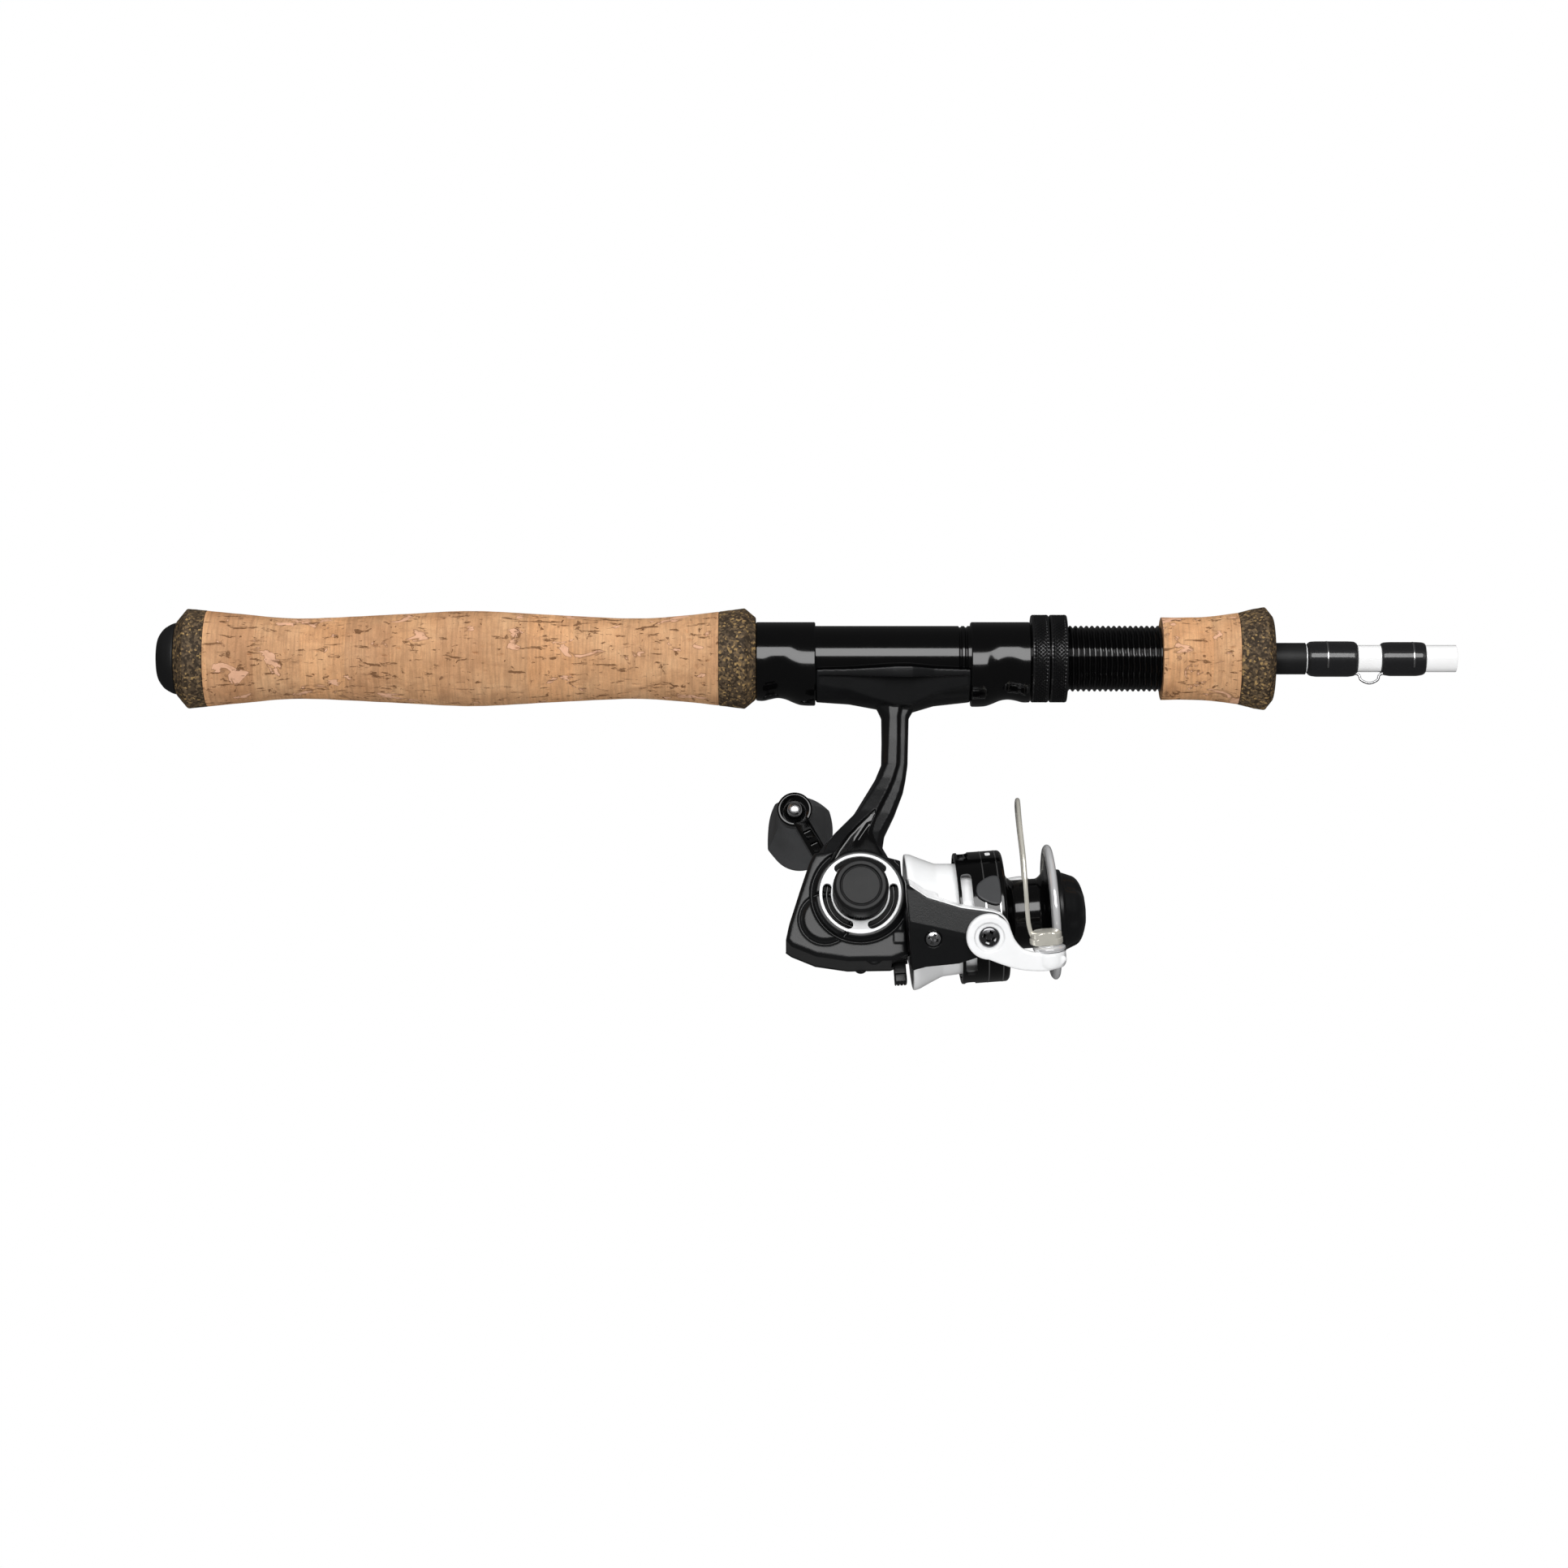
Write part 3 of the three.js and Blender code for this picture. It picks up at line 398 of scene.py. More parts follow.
# A material's key is its first name, without the number that Blender may add.
MATERIALS = {made.name.split(".")[0]: made for made in (
    cork(),
    burl(),
    gloss("gloss_black", (0.0012, 0.0012, 0.0013), 0.12, 0.35, speck=0.003, specular=0.4),
    textured("satin_black", (0.006, 0.0062, 0.0066), 0.30),
    textured("knurled_black", (0.006, 0.006, 0.0063), 0.24, 3.5, 0.003, 0.6),
    textured("matt_black", (0.008, 0.008, 0.0083), 0.5, 3.2, 0.04),
    textured("rubber", (0.06, 0.061, 0.063), 0.45, 3.4, 0.05),
    textured("clip_grey", (0.035, 0.036, 0.038), 0.35, 2.5, 0.02),
    gloss("gloss_white", (0.88, 0.885, 0.89), 0.22, 0.3),
    gloss("white_blank", (0.92, 0.92, 0.92), 0.16, 0.6),
    metal("steel", (0.62, 0.62, 0.63), 0.24),
    metal("chrome", (0.90, 0.90, 0.91), 0.12, height=0.001, metallic=0.5),
    metal("warm_steel", (0.93, 0.90, 0.80), 0.16, height=0.001, metallic=0.55),
    metal("brass", (0.62, 0.46, 0.22), 0.3),
    metal("zinc", (0.42, 0.43, 0.45), 0.42, (1, 1, 1), 0.02),
    metal("dark_steel", (0.26, 0.26, 0.27), 0.22),
    metal("silver_trim", (0.72, 0.72, 0.72), 0.22, (6, 0.4, 0.4), 0.02),
    textured("felt", (0.05, 0.048, 0.045), 0.9, 4.0, 0.12),
    whipping(),
)}


# ---------------------------------------------------------------- mesh helpers
@contextmanager
def editing(mesh):
    """An editable copy of the mesh, written back at the end of the block."""
    work = bmesh.new()
    work.from_mesh(mesh)
    yield work
    work.to_mesh(mesh)
    work.free()


def shade(work, sharpest=math.radians(38)):
    """Shades smooth except at hard edges."""
    for face in work.faces:
        face.smooth = True
    for edge in work.edges:
        edge.smooth = len(edge.link_faces) == 2 and edge.calc_face_angle(0) < sharpest


def make_object(name, mesh, place=WORLD):
    """Places a millimetre mesh, scales it to metres, welds it and shades it."""
    mesh.transform(Matrix.Scale(MM, 4) @ place)
    with editing(mesh) as work:
        bmesh.ops.remove_doubles(work, verts=work.verts, dist=1e-7)
        bmesh.ops.recalc_face_normals(work, faces=work.faces)
        shade(work)
    return put(name, mesh)


def dress(piece, material, body, nodes=()):
    """Gives a piece its material and the body it rides, and hides the CAD nodes it stands for.

    The slot takes the material's name. Unless told, the nodes are the one named as the piece is.
    """
    piece.data.materials.clear()
    piece.data.materials.append(MATERIALS[material])
    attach(piece, body)
    own = piece.name.split(".")[0]
    if own in frame["nodes"]:
        nodes = nodes or (own,)
    if nodes:
        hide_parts(*nodes)


def evaluated_mesh(piece):
    """The piece's mesh with its modifiers applied."""
    graph = bpy.context.evaluated_depsgraph_get()
    return bpy.data.meshes.new_from_object(piece.evaluated_get(graph))


def settle(piece, sharpest=math.radians(38)):
    """Applies the modifiers of a piece and shades it again."""
    mesh = evaluated_mesh(piece)
    piece.modifiers.clear()
    piece.data = mesh
    with editing(mesh) as work:
        shade(work, sharpest)
    return piece


def combine(piece, others, operation="DIFFERENCE"):
    """Cuts the other pieces from the first, or joins them to it, and removes them."""
    for other in others:
        modifier = piece.modifiers.new("combine", "BOOLEAN")
        modifier.operation = operation
        modifier.solver = "EXACT"
        modifier.object = other
    settle(piece)
    for other in others:
        bpy.data.objects.remove(other)
    return piece


def cast(piece, voxel, rounds=4):
    """Turns a joined solid into one smooth casting: an even mesh whose edges are softly rounded."""
    remesh = piece.modifiers.new("even", "REMESH")
    remesh.mode = "VOXEL"
    remesh.voxel_size = voxel * MM
    smooth = piece.modifiers.new("soften", "SMOOTH")
    smooth.factor = 0.5
    smooth.iterations = rounds
    return settle(piece, math.radians(60))


def rounded(points, radius, steps=4):
    """Replaces each inner corner of an open profile by a curve of that size, less where a side is short."""
    made = [Vector(points[0])]
    for before, corner, after in zip(points, points[1:], points[2:]):
        before, corner, after = Vector(before), Vector(corner), Vector(after)
        first, second = before - corner, after - corner
        if first.length < 1e-6 or second.length < 1e-6:
            continue
        reach = min(radius, first.length * 0.45, second.length * 0.45)
        start = corner + first.normalized() * reach
        end = corner + second.normalized() * reach
        for i in range(steps + 1):
            t = i / steps
            made.append(start * (1 - t) ** 2 + corner * 2 * t * (1 - t) + end * t * t)
    made.append(Vector(points[-1]))
    return [tuple(p) for p in made]


def rounded_loop(points, radius):
    """A closed outline with round corners."""
    return rounded([points[-1], *points, points[0]], radius, 5)[1:-1]


def smooth_profile(points, count):
    """A Catmull-Rom curve through the points, as that many points and one more."""
    knots = [Vector(p) for p in points]
    knots = [knots[0] * 2 - knots[1]] + knots + [knots[-1] * 2 - knots[-2]]
    made = []
    spans = len(points) - 1
    for i in range(count + 1):
        place = min(i / count * spans, spans - 1e-9)
        k = int(place)
        t = place - k
        a, b, c, d = knots[k:k + 4]
        made.append(tuple(0.5 * (2 * b + (c - a) * t + (2 * a - 5 * b + 4 * c - d) * t * t
                                 + (3 * b - a - 3 * c + d) * t ** 3)))
    return made


def grid_mesh(name, rings, looped=False):
    """A mesh from rings of points, where one point is a pole. A loop joins the last ring to the first."""
    vertices, starts, faces = [], [], []
    for ring in rings:
        starts.append(len(vertices))
        vertices.extend(ring)
    pairs = list(zip(range(len(rings)), range(1, len(rings))))
    if looped:
        pairs.append((len(rings) - 1, 0))
    for a, b in pairs:
        na, nb = len(rings[a]), len(rings[b])
        n = max(na, nb)
        if n == 1:
            continue
        for i in range(n):
            j = (i + 1) % n
            corners = [starts[a] + (i if na > 1 else 0), starts[a] + (j if na > 1 else 0),
                       starts[b] + (j if nb > 1 else 0), starts[b] + (i if nb > 1 else 0)]
            face = list(dict.fromkeys(corners))
            if len(face) > 2:
                faces.append(face)
    mesh = bpy.data.meshes.new(name)
    mesh.from_pydata(vertices, [], faces)
    return mesh


def ring_about_x(x, sides, reach):
    """A ring of points about X, whose radius at an angle is reach(angle)."""
    ring = []
    for i in range(sides):
        angle = TAU * i / sides
        r = reach(angle)
        ring.append((x, r * math.cos(angle), r * math.sin(angle)))
    return ring


def revolve(name, profile, place=WORLD, sides=96, shape=lambda x, radius, angle: radius):
    """A solid of revolution about X from (x, radius) points, hollow where the profile starts off the axis.

    shape(x, radius, angle) may change the radius.
    """
    rings = []
    for x, radius in profile:
        if radius < 1e-6:
            rings.append([(x, 0, 0)])
        else:
            rings.append(ring_about_x(x, sides, lambda angle: shape(x, radius, angle)))
    return make_object(name, grid_mesh(name, rings, profile[0][1] > 0), place)


def rod(x0, x1, radius, place=WORLD, sides=64):
    """A plain cylinder, to be cut away or joined."""
    return revolve("rod", [(x0, 0), (x0, radius), (x1, radius), (x1, 0)], place, sides)


def disc(profile, place, sides=96, soft=0.5):
    """A turned solid with round corners, to be cut away or joined."""
    return revolve("disc", rounded(profile, soft), place, sides)


def block(low_corner, high_corner, place=WORLD, bevel=0.0):
    """A box between two corners, with rounded edges, to be cut away or joined."""
    (x0, y0, z0), (x1, y1, z1) = low_corner, high_corner
    mesh = bpy.data.meshes.new("block")
    with editing(mesh) as work:
        bmesh.ops.create_cube(work, size=1)
        bmesh.ops.scale(work, vec=(x1 - x0, y1 - y0, z1 - z0), verts=work.verts)
        bmesh.ops.translate(work, vec=((x0 + x1) / 2, (y0 + y1) / 2, (z0 + z1) / 2), verts=work.verts)
        if bevel:
            bmesh.ops.bevel(work, geom=work.edges[:], offset=bevel, segments=3, profile=0.6, affect="EDGES")
    return make_object("block", mesh, place)


def loft(sections):
    """A closed solid through sections of equally many points, with flat ends."""
    mesh = grid_mesh("loft", sections)
    count, total = len(sections[0]), len(mesh.vertices)
    with editing(mesh) as work:
        work.verts.ensure_lookup_table()
        work.faces.new([work.verts[i] for i in range(count)])
        work.faces.new([work.verts[i] for i in range(total - count, total)])
        bmesh.ops.triangulate(work, faces=[f for f in work.faces if len(f.verts) > 4])
    return make_object("loft", mesh)


def arc(centre, radius, start, end, count):
    """Points on an arc, with the angles in degrees."""
    turns = [math.radians(start + (end - start) * i / count) for i in range(count + 1)]
    return [(centre[0] + radius * math.cos(t), centre[1] + radius * math.sin(t)) for t in turns]


def plate(name, loops, y0, y1, place=WORLD, bevel=0.3):
    """Outlines in X and Z, the first outside and the others holes, extruded along Y, with round rims."""
    curve = bpy.data.curves.new(name, "CURVE")
    curve.dimensions = "2D"
    curve.fill_mode = "BOTH"
    for loop in loops:
        spline = curve.splines.new("POLY")
        spline.points.add(len(loop) - 1)
        for point, (x, z) in zip(spline.points, loop):
            point.co = (x, z, 0, 1)
        spline.use_cyclic_u = True
    curve.extrude = (y1 - y0) / 2 - bevel
    curve.bevel_depth = bevel
    curve.bevel_resolution = 3
    curve.offset = -bevel
    carrier = put(name, curve)
    mesh = evaluated_mesh(carrier)
    bpy.data.objects.remove(carrier)
    return make_object(name, mesh, place @ turned(shifted(WORLD, y=(y0 + y1) / 2), math.pi / 2))


def tube(name, points, radius, place=WORLD, count=120, sides=14):
    """A round wire along a smooth curve through the points, with domed ends."""
    path = [Vector(p) for p in smooth_profile(points, count)]
    rings = []
    normal = Vector((0, 0, 1))
    for i, point in enumerate(path):
        ahead = path[min(i + 1, count)] - path[max(i - 1, 0)]
        ahead.normalize()
        normal = (normal - ahead * normal.dot(ahead))
        if normal.length < 1e-4:
            normal = ahead.orthogonal()
        normal.normalize()
        side = ahead.cross(normal)
        rings.append([tuple(point + (normal * math.cos(a) + side * math.sin(a)) * radius)
                      for a in (TAU * k / sides for k in range(sides))])
        if i == 0:
            rings.insert(0, [tuple(point - ahead * radius * 0.5)])
        if i == count:
            rings.append([tuple(point + ahead * radius * 0.5)])
    return make_object(name, grid_mesh(name, rings), place)


# ---------------------------------------------------------------- rod: grips
def make_butt_cap():
    start, end = low("butt_cap").x, low("rear_grip_butt_ring").x - 0.1
    plug, plug_end = 7.2, end + 5
    profile = [(start, 0), (start, 5), (start + 0.5, 6.4), (start + 1.9, 8.3), (start + 4, 9.5), (end, 9.9),
               (end, plug), (plug_end, plug), (plug_end, 0)]
    dress(revolve("butt_cap", rounded(profile, 0.9), sides=128), "matt_black", ROD)


def make_burl_ring(name, profile):
    def worn(x, radius, angle):
        spot = Vector((x * 0.9, radius * math.cos(angle) * 0.9, radius * math.sin(angle) * 0.9))
        return radius + 0.05 * noise.noise(spot) if radius > 8 else radius
    points = rounded(profile, 0.35, 3)
    fine, spacing = [], 0.8
    for (x0, r0), (x1, r1) in zip(points, points[1:]):
        steps = max(1, int(math.hypot(x1 - x0, r1 - r0) / spacing))
        fine += [(x0 + (x1 - x0) * i / steps, r0 + (r1 - r0) * i / steps) for i in range(steps)]
    dress(revolve(name, fine + [points[-1]], sides=144, shape=worn), "burl_cork", ROD)


def cork_pits(x, radius, angle):
    """Small hollows in a cork surface, at the places where the noise is high."""
    if radius <= GRIP_BORE + 1:
        return radius
    spot = Vector((x * 0.42, radius * math.cos(angle) * 0.9, radius * math.sin(angle) * 0.9))
    value = noise.noise(spot) + 0.4 * noise.noise(spot * 2.3)
    depth = max(0.0, value - 0.52) * 1.5
    ripple = 0.05 * noise.noise(Vector((x * 0.25, math.cos(angle) * 2, math.sin(angle) * 2)))
    return radius - min(depth, 0.4) + ripple


def make_cork_grip(name, knots):
    start, end = knots[0][0], knots[-1][0]
    outside = smooth_profile(knots, int((end - start) / 0.45))
    profile = [(start, GRIP_BORE)] + outside + [(end, GRIP_BORE)]
    dress(revolve(name, profile, sides=224, shape=cork_pits), "cork", ROD)


def make_grips():
    plug_hole = 7.5
    make_butt_cap()
    make_burl_ring("rear_grip_butt_ring", [
        (-195.6, plug_hole), (-195.6, 10.2), (-192.7, 13.65), (-187.35, 13.15), (-187.35, plug_hole)])
    make_cork_grip("rear_grip", [
        (-187.3, 13.1), (-177, 12.1), (-162, 11), (-138.5, 11.95), (-115.4, 13), (-94, 12), (-71, 11),
        (-57, 11.8), (-47.6, 12.8)])
    make_burl_ring("rear_grip_front_ring", [
        (-47.58, BURL_BORE), (-47.58, 12.85), (-40.5, 13.76), (-37.42, 11.2), (-37.42, BURL_BORE)])
    make_cork_grip("fore_grip", [(73.3, 11.3), (79, 11.25), (85, 11.4), (90, 11.9), (94.2, 12.5)])
    make_burl_ring("fore_grip_ring", [
        (94.24, BURL_BORE), (94.24, 12.5), (98.5, 13.6), (101.6, 14.1), (103.7, 11.5), (103.7, BURL_BORE)])


# ---------------------------------------------------------------- rod: reel seat
def make_seat():
    start, end = low("seat_tube").x, high("seat_tube").x
    floor = SEAT_RADIUS - 0.4
    outside = [(start, SEAT_BORE), (start, SEAT_RADIUS)]
    for groove in (18.3, 19.9):
        outside += [(groove - 0.45, SEAT_RADIUS), (groove - 0.15, floor),
                    (groove + 0.15, floor), (groove + 0.45, SEAT_RADIUS)]
    outside += [(THREAD_START, SEAT_RADIUS), (THREAD_START, SEAT_BORE)]
    dress(revolve("seat_tube", rounded(outside, 0.12, 3), sides=160), "gloss_black", ROD)

    crest_height, flank_slope, steps_per_turn = 0.05, 2.6, 12

    def thread(x, radius, angle):
        if radius < SEAT_RADIUS or x > end - 0.3:
            return radius
        phase = ((x - THREAD_START) / THREAD_PITCH - angle / TAU) % 1.0
        crest = min(1.0, flank_slope * abs(phase - 0.5))
        return radius + crest_height - THREAD_DEPTH * (1 - crest ** 1.3)
    length = end - THREAD_START
    steps = int(length / THREAD_PITCH * steps_per_turn)
    profile = [(THREAD_START, SEAT_BORE)]
    profile += [(THREAD_START + length * i / steps, SEAT_RADIUS) for i in range(steps + 1)]
    profile += [(end, SEAT_BORE)]
    dress(revolve("seat_thread", profile, shape=thread), "gloss_black", ROD)


def polar_lobe(radius, angle):
    """How far a circle centred below the axis reaches, from the axis, at an angle measured from +Y."""
    down = -math.sin(angle)
    return -FOOT_OFFSET * down + math.sqrt(max(0.0, radius ** 2 - FOOT_OFFSET ** 2 * (1 - down ** 2)))


def soft_max(a, b, width):
    blend = max(0.0, 1 - abs(a - b) / width)
    return max(a, b) + blend * blend * width / 4


def make_hood(name, bottoms, place, body):
    """A collar that swells below into a pocket for the foot. bottoms lists (distance, lowest radius)."""
    sides = 144
    lip = [(0.0, -0.25), (0.12, -0.07), (0.35, 0.0)]
    pockets = [(HOOD_LENGTH, 9.05), (HOOD_LENGTH - 6, 8.3), (7.3, 7.0), (7.2, 0), (0, 0)]
    inner = SEAT_RADIUS + 0.12
    rings = []
    for x, bottom in smooth_profile(bottoms, 60):
        inset = min([0.0] + [change for edge, change in lip if x <= edge or x >= HOOD_LENGTH - edge])
        lobe, top = bottom + inset + FOOT_OFFSET, HOOD_RADIUS + inset
        rings.append(ring_about_x(x, sides, lambda angle: soft_max(top, polar_lobe(lobe, angle), 1.8)))
    for x, pocket in pockets:
        rings.append(ring_about_x(
            x, sides, lambda angle: max(inner, polar_lobe(pocket, angle)) if pocket else inner))
    dress(make_object(name, grid_mesh(name, rings, True), place), "gloss_black", body)


def make_hoods():
    back = shifted(WORLD, x=-HOOD_MOUTH - HOOD_LENGTH)
    make_hood("fixed_hood", [
        (0, 11.6), (2, 11.7), (4, 11.2), (6, 10.75), (8, 11.2), (10, 12.1), (12, 12.8), (14, 13.0),
        (HOOD_LENGTH, 13.0)], back, ROD)
    front = turned(shifted(WORLD, x=HOOD_MOUTH + HOOD_LENGTH), math.pi, "Z")
    make_hood("sliding_hood", [
        (0, 12.1), (2, 12.1), (4, 11.6), (6, 11.3), (8, 11.6), (10, 12.4), (12, 13.1), (14, 13.3),
        (HOOD_LENGTH, 13.3)], front, "hood")


def make_nut(name):
    start, end = low(name).x, high(name).x
    count = 68
    pitch = TAU * NUT_RADIUS / count

    def knurl(x, radius, angle):
        if radius < NUT_RADIUS - 0.2:
            return radius
        edge = clamp((min(x - start, end - x) - 0.6) / 0.1)
        u = (count * angle / TAU + (x - start) / pitch) % 1.0
        v = (count * angle / TAU - (x - start) / pitch) % 1.0
        height = min(1 - abs(2 * u - 1), 1 - abs(2 * v - 1))
        return radius - 0.5 * edge * max(0.0, 1 - 1.6 * height)
    bore = SEAT_RADIUS + 0.15
    face = [(start + 0.5 + (end - start - 1) * i / 26, NUT_RADIUS) for i in range(27)]
    profile = [(start, bore), (start, NUT_RADIUS - 0.3), (start + 0.12, NUT_RADIUS - 0.12)]
    profile += face + [(end - 0.12, NUT_RADIUS - 0.12), (end, NUT_RADIUS - 0.3), (end, bore)]
    dress(revolve(name, profile, sides=count * 8, shape=knurl), "knurled_black", name)


# ---------------------------------------------------------------- rod: blank, whippings and keeper
def make_blank():
    start, end = low("blank").x, high("ferrule_socket").x
    profile = [(start, BLANK_BORE), (start, BLANK_RADIUS), (end, BLANK_RADIUS), (end, BLANK_BORE)]
    dress(revolve("blank", rounded(profile, 0.15)), "white_blank", ROD, nodes=("blank", "ferrule_socket"))
    sleeve, bore = 4.33, 3.8
    profile = [(104, bore), (104, sleeve), (112.8, sleeve), (112.8, bore)]
    dress(revolve("blank_sleeve", rounded(profile, 0.2)), "matt_black", ROD)


def make_wrap(end, radius, trim_x):
    """A whipping with a metal band. It swells below, where the keeper's foot lies under the thread."""
    name = "keeper_wrap_" + end
    x0, x1 = low(name).x, high(name).x
    outline = [(x0, WRAP_BORE), (x0 + 0.25, 4.2), (x0 + 0.9, radius - 0.1), (x0 + 2.4, radius),
               (x1 - 2.4, radius), (x1 - 0.9, radius - 0.1), (x1 - 0.25, 4.2), (x1, WRAP_BORE)]

    def swell(x, r, angle):
        below = max(0.0, -math.sin(angle)) ** 6
        near = clamp(min(x - x0, x1 - x) / 2.5)
        return r + 0.28 * below * near if r > 4.3 else r
    dress(revolve(name, rounded(outline, 0.7, 5), shape=swell), "whipping", ROD)
    band = [(trim_x - 0.32, radius - 0.1), (trim_x - 0.2, radius + 0.05),
            (trim_x + 0.2, radius + 0.05), (trim_x + 0.32, radius - 0.1)]
    dress(revolve("keeper_trim_" + end, rounded(band, 0.1)), "silver_trim", ROD)


def make_keeper():
    keeper = tube("hook_keeper", [
        (123, 0, -4.2), (126, 0, -4.25), (127.3, 0, -4.7), (127.9, 0, -6.1), (130.1, 0, -7.0),
        (132.3, 0, -6.1), (132.9, 0, -4.7), (134.2, 0, -4.25), (137, 0, -4.2)], 0.36)
    dress(keeper, "steel", ROD)


make_grips()
make_seat()
make_hoods()
make_nut("lock_nut")
make_nut("jam_nut")
make_blank()
make_wrap("rear", 4.75, 118.6)
make_wrap("front", 4.55, 142.1)
make_keeper()


# ---------------------------------------------------------------- reel: frame and cover
CASE_OUTLINE = [
    (-21.7, -57.6), (-23, -60.2), (-25.6, -68.1), (-28.4, -77.1), (-29.3, -81.5), (-27.8, -83.3),
    (-21.3, -86), (-12.6, -87.3), (-1, -87.1), (3.2, -85.5), (1.35, -59.6), (-2.3, -58.6), (-6, -57.2),
    (-10, -56.7), (-14, -56.9), (-18, -57),
]
LEAF = [
    (-5.1, -43.7), (-8.8, -47.3), (-12.3, -51.2), (-15.1, -55.2), (-16.9, -58.6), (-17.6, -60.9),
    (-13.5, -57.2), (-9.4, -56.2), (-5.2, -57.0), (-1.9, -58.6), (-3.6, -55.9), (-5.0, -53.0),
    (-5.9, -50.0), (-5.0, -46.9),
]


def stem_section(z, left, right, crest_start, crest_end, half):
    """One level of the stem: a ridge between two shares of its width, and lower flanks."""
    width = right - left
    near = [(0.0, 0.25), (0.07, 0.62), (crest_start, 1.0), (crest_end, 1.0), (crest_end + 0.07, 0.66),
            (0.90, 0.60), (1.0, 0.30)]
    points = [(left + width * share, -half * depth, z) for share, depth in near]
    return points + [(left + width * share, half * depth, z) for share, depth in reversed(near)]


def make_stem():
    levels = [
        (-11.5, -6.5, 7.5, 0.34, 0.62, 3.7), (-14.2, -4.6, 5.8, 0.33, 0.60, 3.6),
        (-17, -3.3, 4.2, 0.30, 0.60, 3.5), (-23.9, -3.25, 4.0, 0.26, 0.60, 3.4),
        (-30.4, -3.4, 3.8, 0.24, 0.60, 3.5), (-34.6, -5.1, 3.2, 0.20, 0.58, 3.7),
        (-38, -7.1, 2.5, 0.16, 0.56, 4.1), (-44.4, -10.9, 0.1, 0.12, 0.55, 5.2),
        (-50, -16.3, -2.6, 0.10, 0.60, 7.0), (-54, -19.6, -3.2, 0.10, 0.70, 8.8),
        (-58, -21.9, -1.0, 0.10, 0.80, 10.2), (-63, -24, 0.6, 0.10, 0.80, 10.8),
    ]
    return loft([stem_section(*level) for level in levels])


def make_foot():
    """The saddle under the seat: a thin flange that shows as a pale edge, over a deeper keel."""
    keel = revolve("foot_keel", [
        (-30, 0), (-30, 6.9), (-28.5, 7.5), (-21.1, 8.4), (-20.9, 9.1), (-12, 9.7), (-5, 11.0), (0, 12.0),
        (5, 12.0), (11, 10.2), (20.9, 9.1), (21.1, 8.4), (28.5, 7.5), (30, 6.9), (30, 0)],
        shifted(WORLD, z=FOOT_OFFSET))
    half, depth, lean = 20.6, -23, math.radians(24)
    near = block((-half, -13, depth), (half, 0, 0), turned(shifted(WORLD, 0, -7.6, -7.0), lean))
    far = block((-half, 0, depth), (half, 13, 0), turned(shifted(WORLD, 0, 7.6, -7.0), -lean))
    above = block((-40, -20, -5.6), (40, 20, 20))
    seat = rod(-32, 32, SEAT_RADIUS + 0.15, sides=128)
    return combine(keel, [near, far, above, seat])


def case_solid():
    """The gear case with its nose, the rim round the axle, the lobe, and a block and a boss at the corner."""
    near = plate("reel_frame", [CASE_OUTLINE], CASE_NEAR, 1, bevel=1.4)
    root = CASE_NEAR + 2
    return combine(near, [
        plate("case_far", [CASE_OUTLINE], -3, CASE_FAR, bevel=0.2),
        rod(-21.8, -12.5, 11, SPOOL),
        disc([(CASE_NEAR - 1.1, 0), (CASE_NEAR - 1.1, 11.9), (root, 12.6), (root, 0)], AXLE_HOLE, 128),
        disc([(CASE_NEAR - 0.7, 0), (CASE_NEAR - 0.7, 5.7), (root, 6.5), (root, 0)], LOBE),
        block((-0.6, CASE_NEAR - 0.3, -82.5), (2.6, -8, -79.2), bevel=0.3),
        disc([(-11, 0), (-11, 2.4), (-4, 2.4), (-4, 0)], along_y(-5.8, -85.8), 48),
    ], "UNION")


def case_cuts():
    """The case's inside, the grooves on its face and the slope of its underside."""
    return [
        rod(-8.8, 8, 9.6, AXLE_HOLE),  # gear
        block((-23.8, -5, -80.8), (-0.2, 8, -70)),
        rod(-11.3, -8, BEARING_SEAT, AXLE_HOLE),
        rod(-15, -8, SHAFT_HOLE, AXLE_HOLE),
        rod(-18.6, -12, 7.7, SPOOL),  # one-way clutch
        rod(-21.4, -18, BEARING_SEAT, SPOOL),
        rod(-25, -20, 3.4, SPOOL),  # pinion
        block((-24.4, -4.8, -20), (-19, 4.8, -7), SPOOL),  # anti-reverse lever
        disc([(-13.5, 12.7), (-11.2, 12.7), (-11.2, 13.4), (-13.5, 13.6)], AXLE_HOLE, soft=0.1),
        revolve("lobe_groove", [(-13.5, 6.6), (-11.5, 6.6), (-11.5, 7.2), (-13.5, 7.4)], LOBE),
        # A steep channel shows black through the ring's slots.
        revolve("channel", [(-13.6, 6.8), (-11.2, 9.0), (-13.6, CHANNEL_OUTER)], AXLE_HOLE, 128),
        plate("slope", [[(-13, -83.4), (-13, -92), (0, -92), (-3, -87.9)]], -30, 10,
              turned(WORLD, -math.pi / 2, "Z"), 0.05),
    ]


def raise_underside(piece):
    """Draws the case's underside up towards the far wall, by up to 2 mm."""
    top, fade, depth, rise = -79, 4, 23.2, 2.0
    for vertex in piece.data.vertices:
        x, y, z = vertex.co / MM
        share = clamp((top - z) / fade)
        vertex.co.z += share * max(0.0, y - CASE_NEAR) / depth * rise * MM


def inside_outline(x, z, outline):
    inside = False
    for (x0, z0), (x1, z1) in zip(outline, outline[1:] + outline[:1]):
        if (z0 > z) != (z1 > z) and x < (x1 - x0) * (z - z0) / (z1 - z0) + x0:
            inside = not inside
    return inside


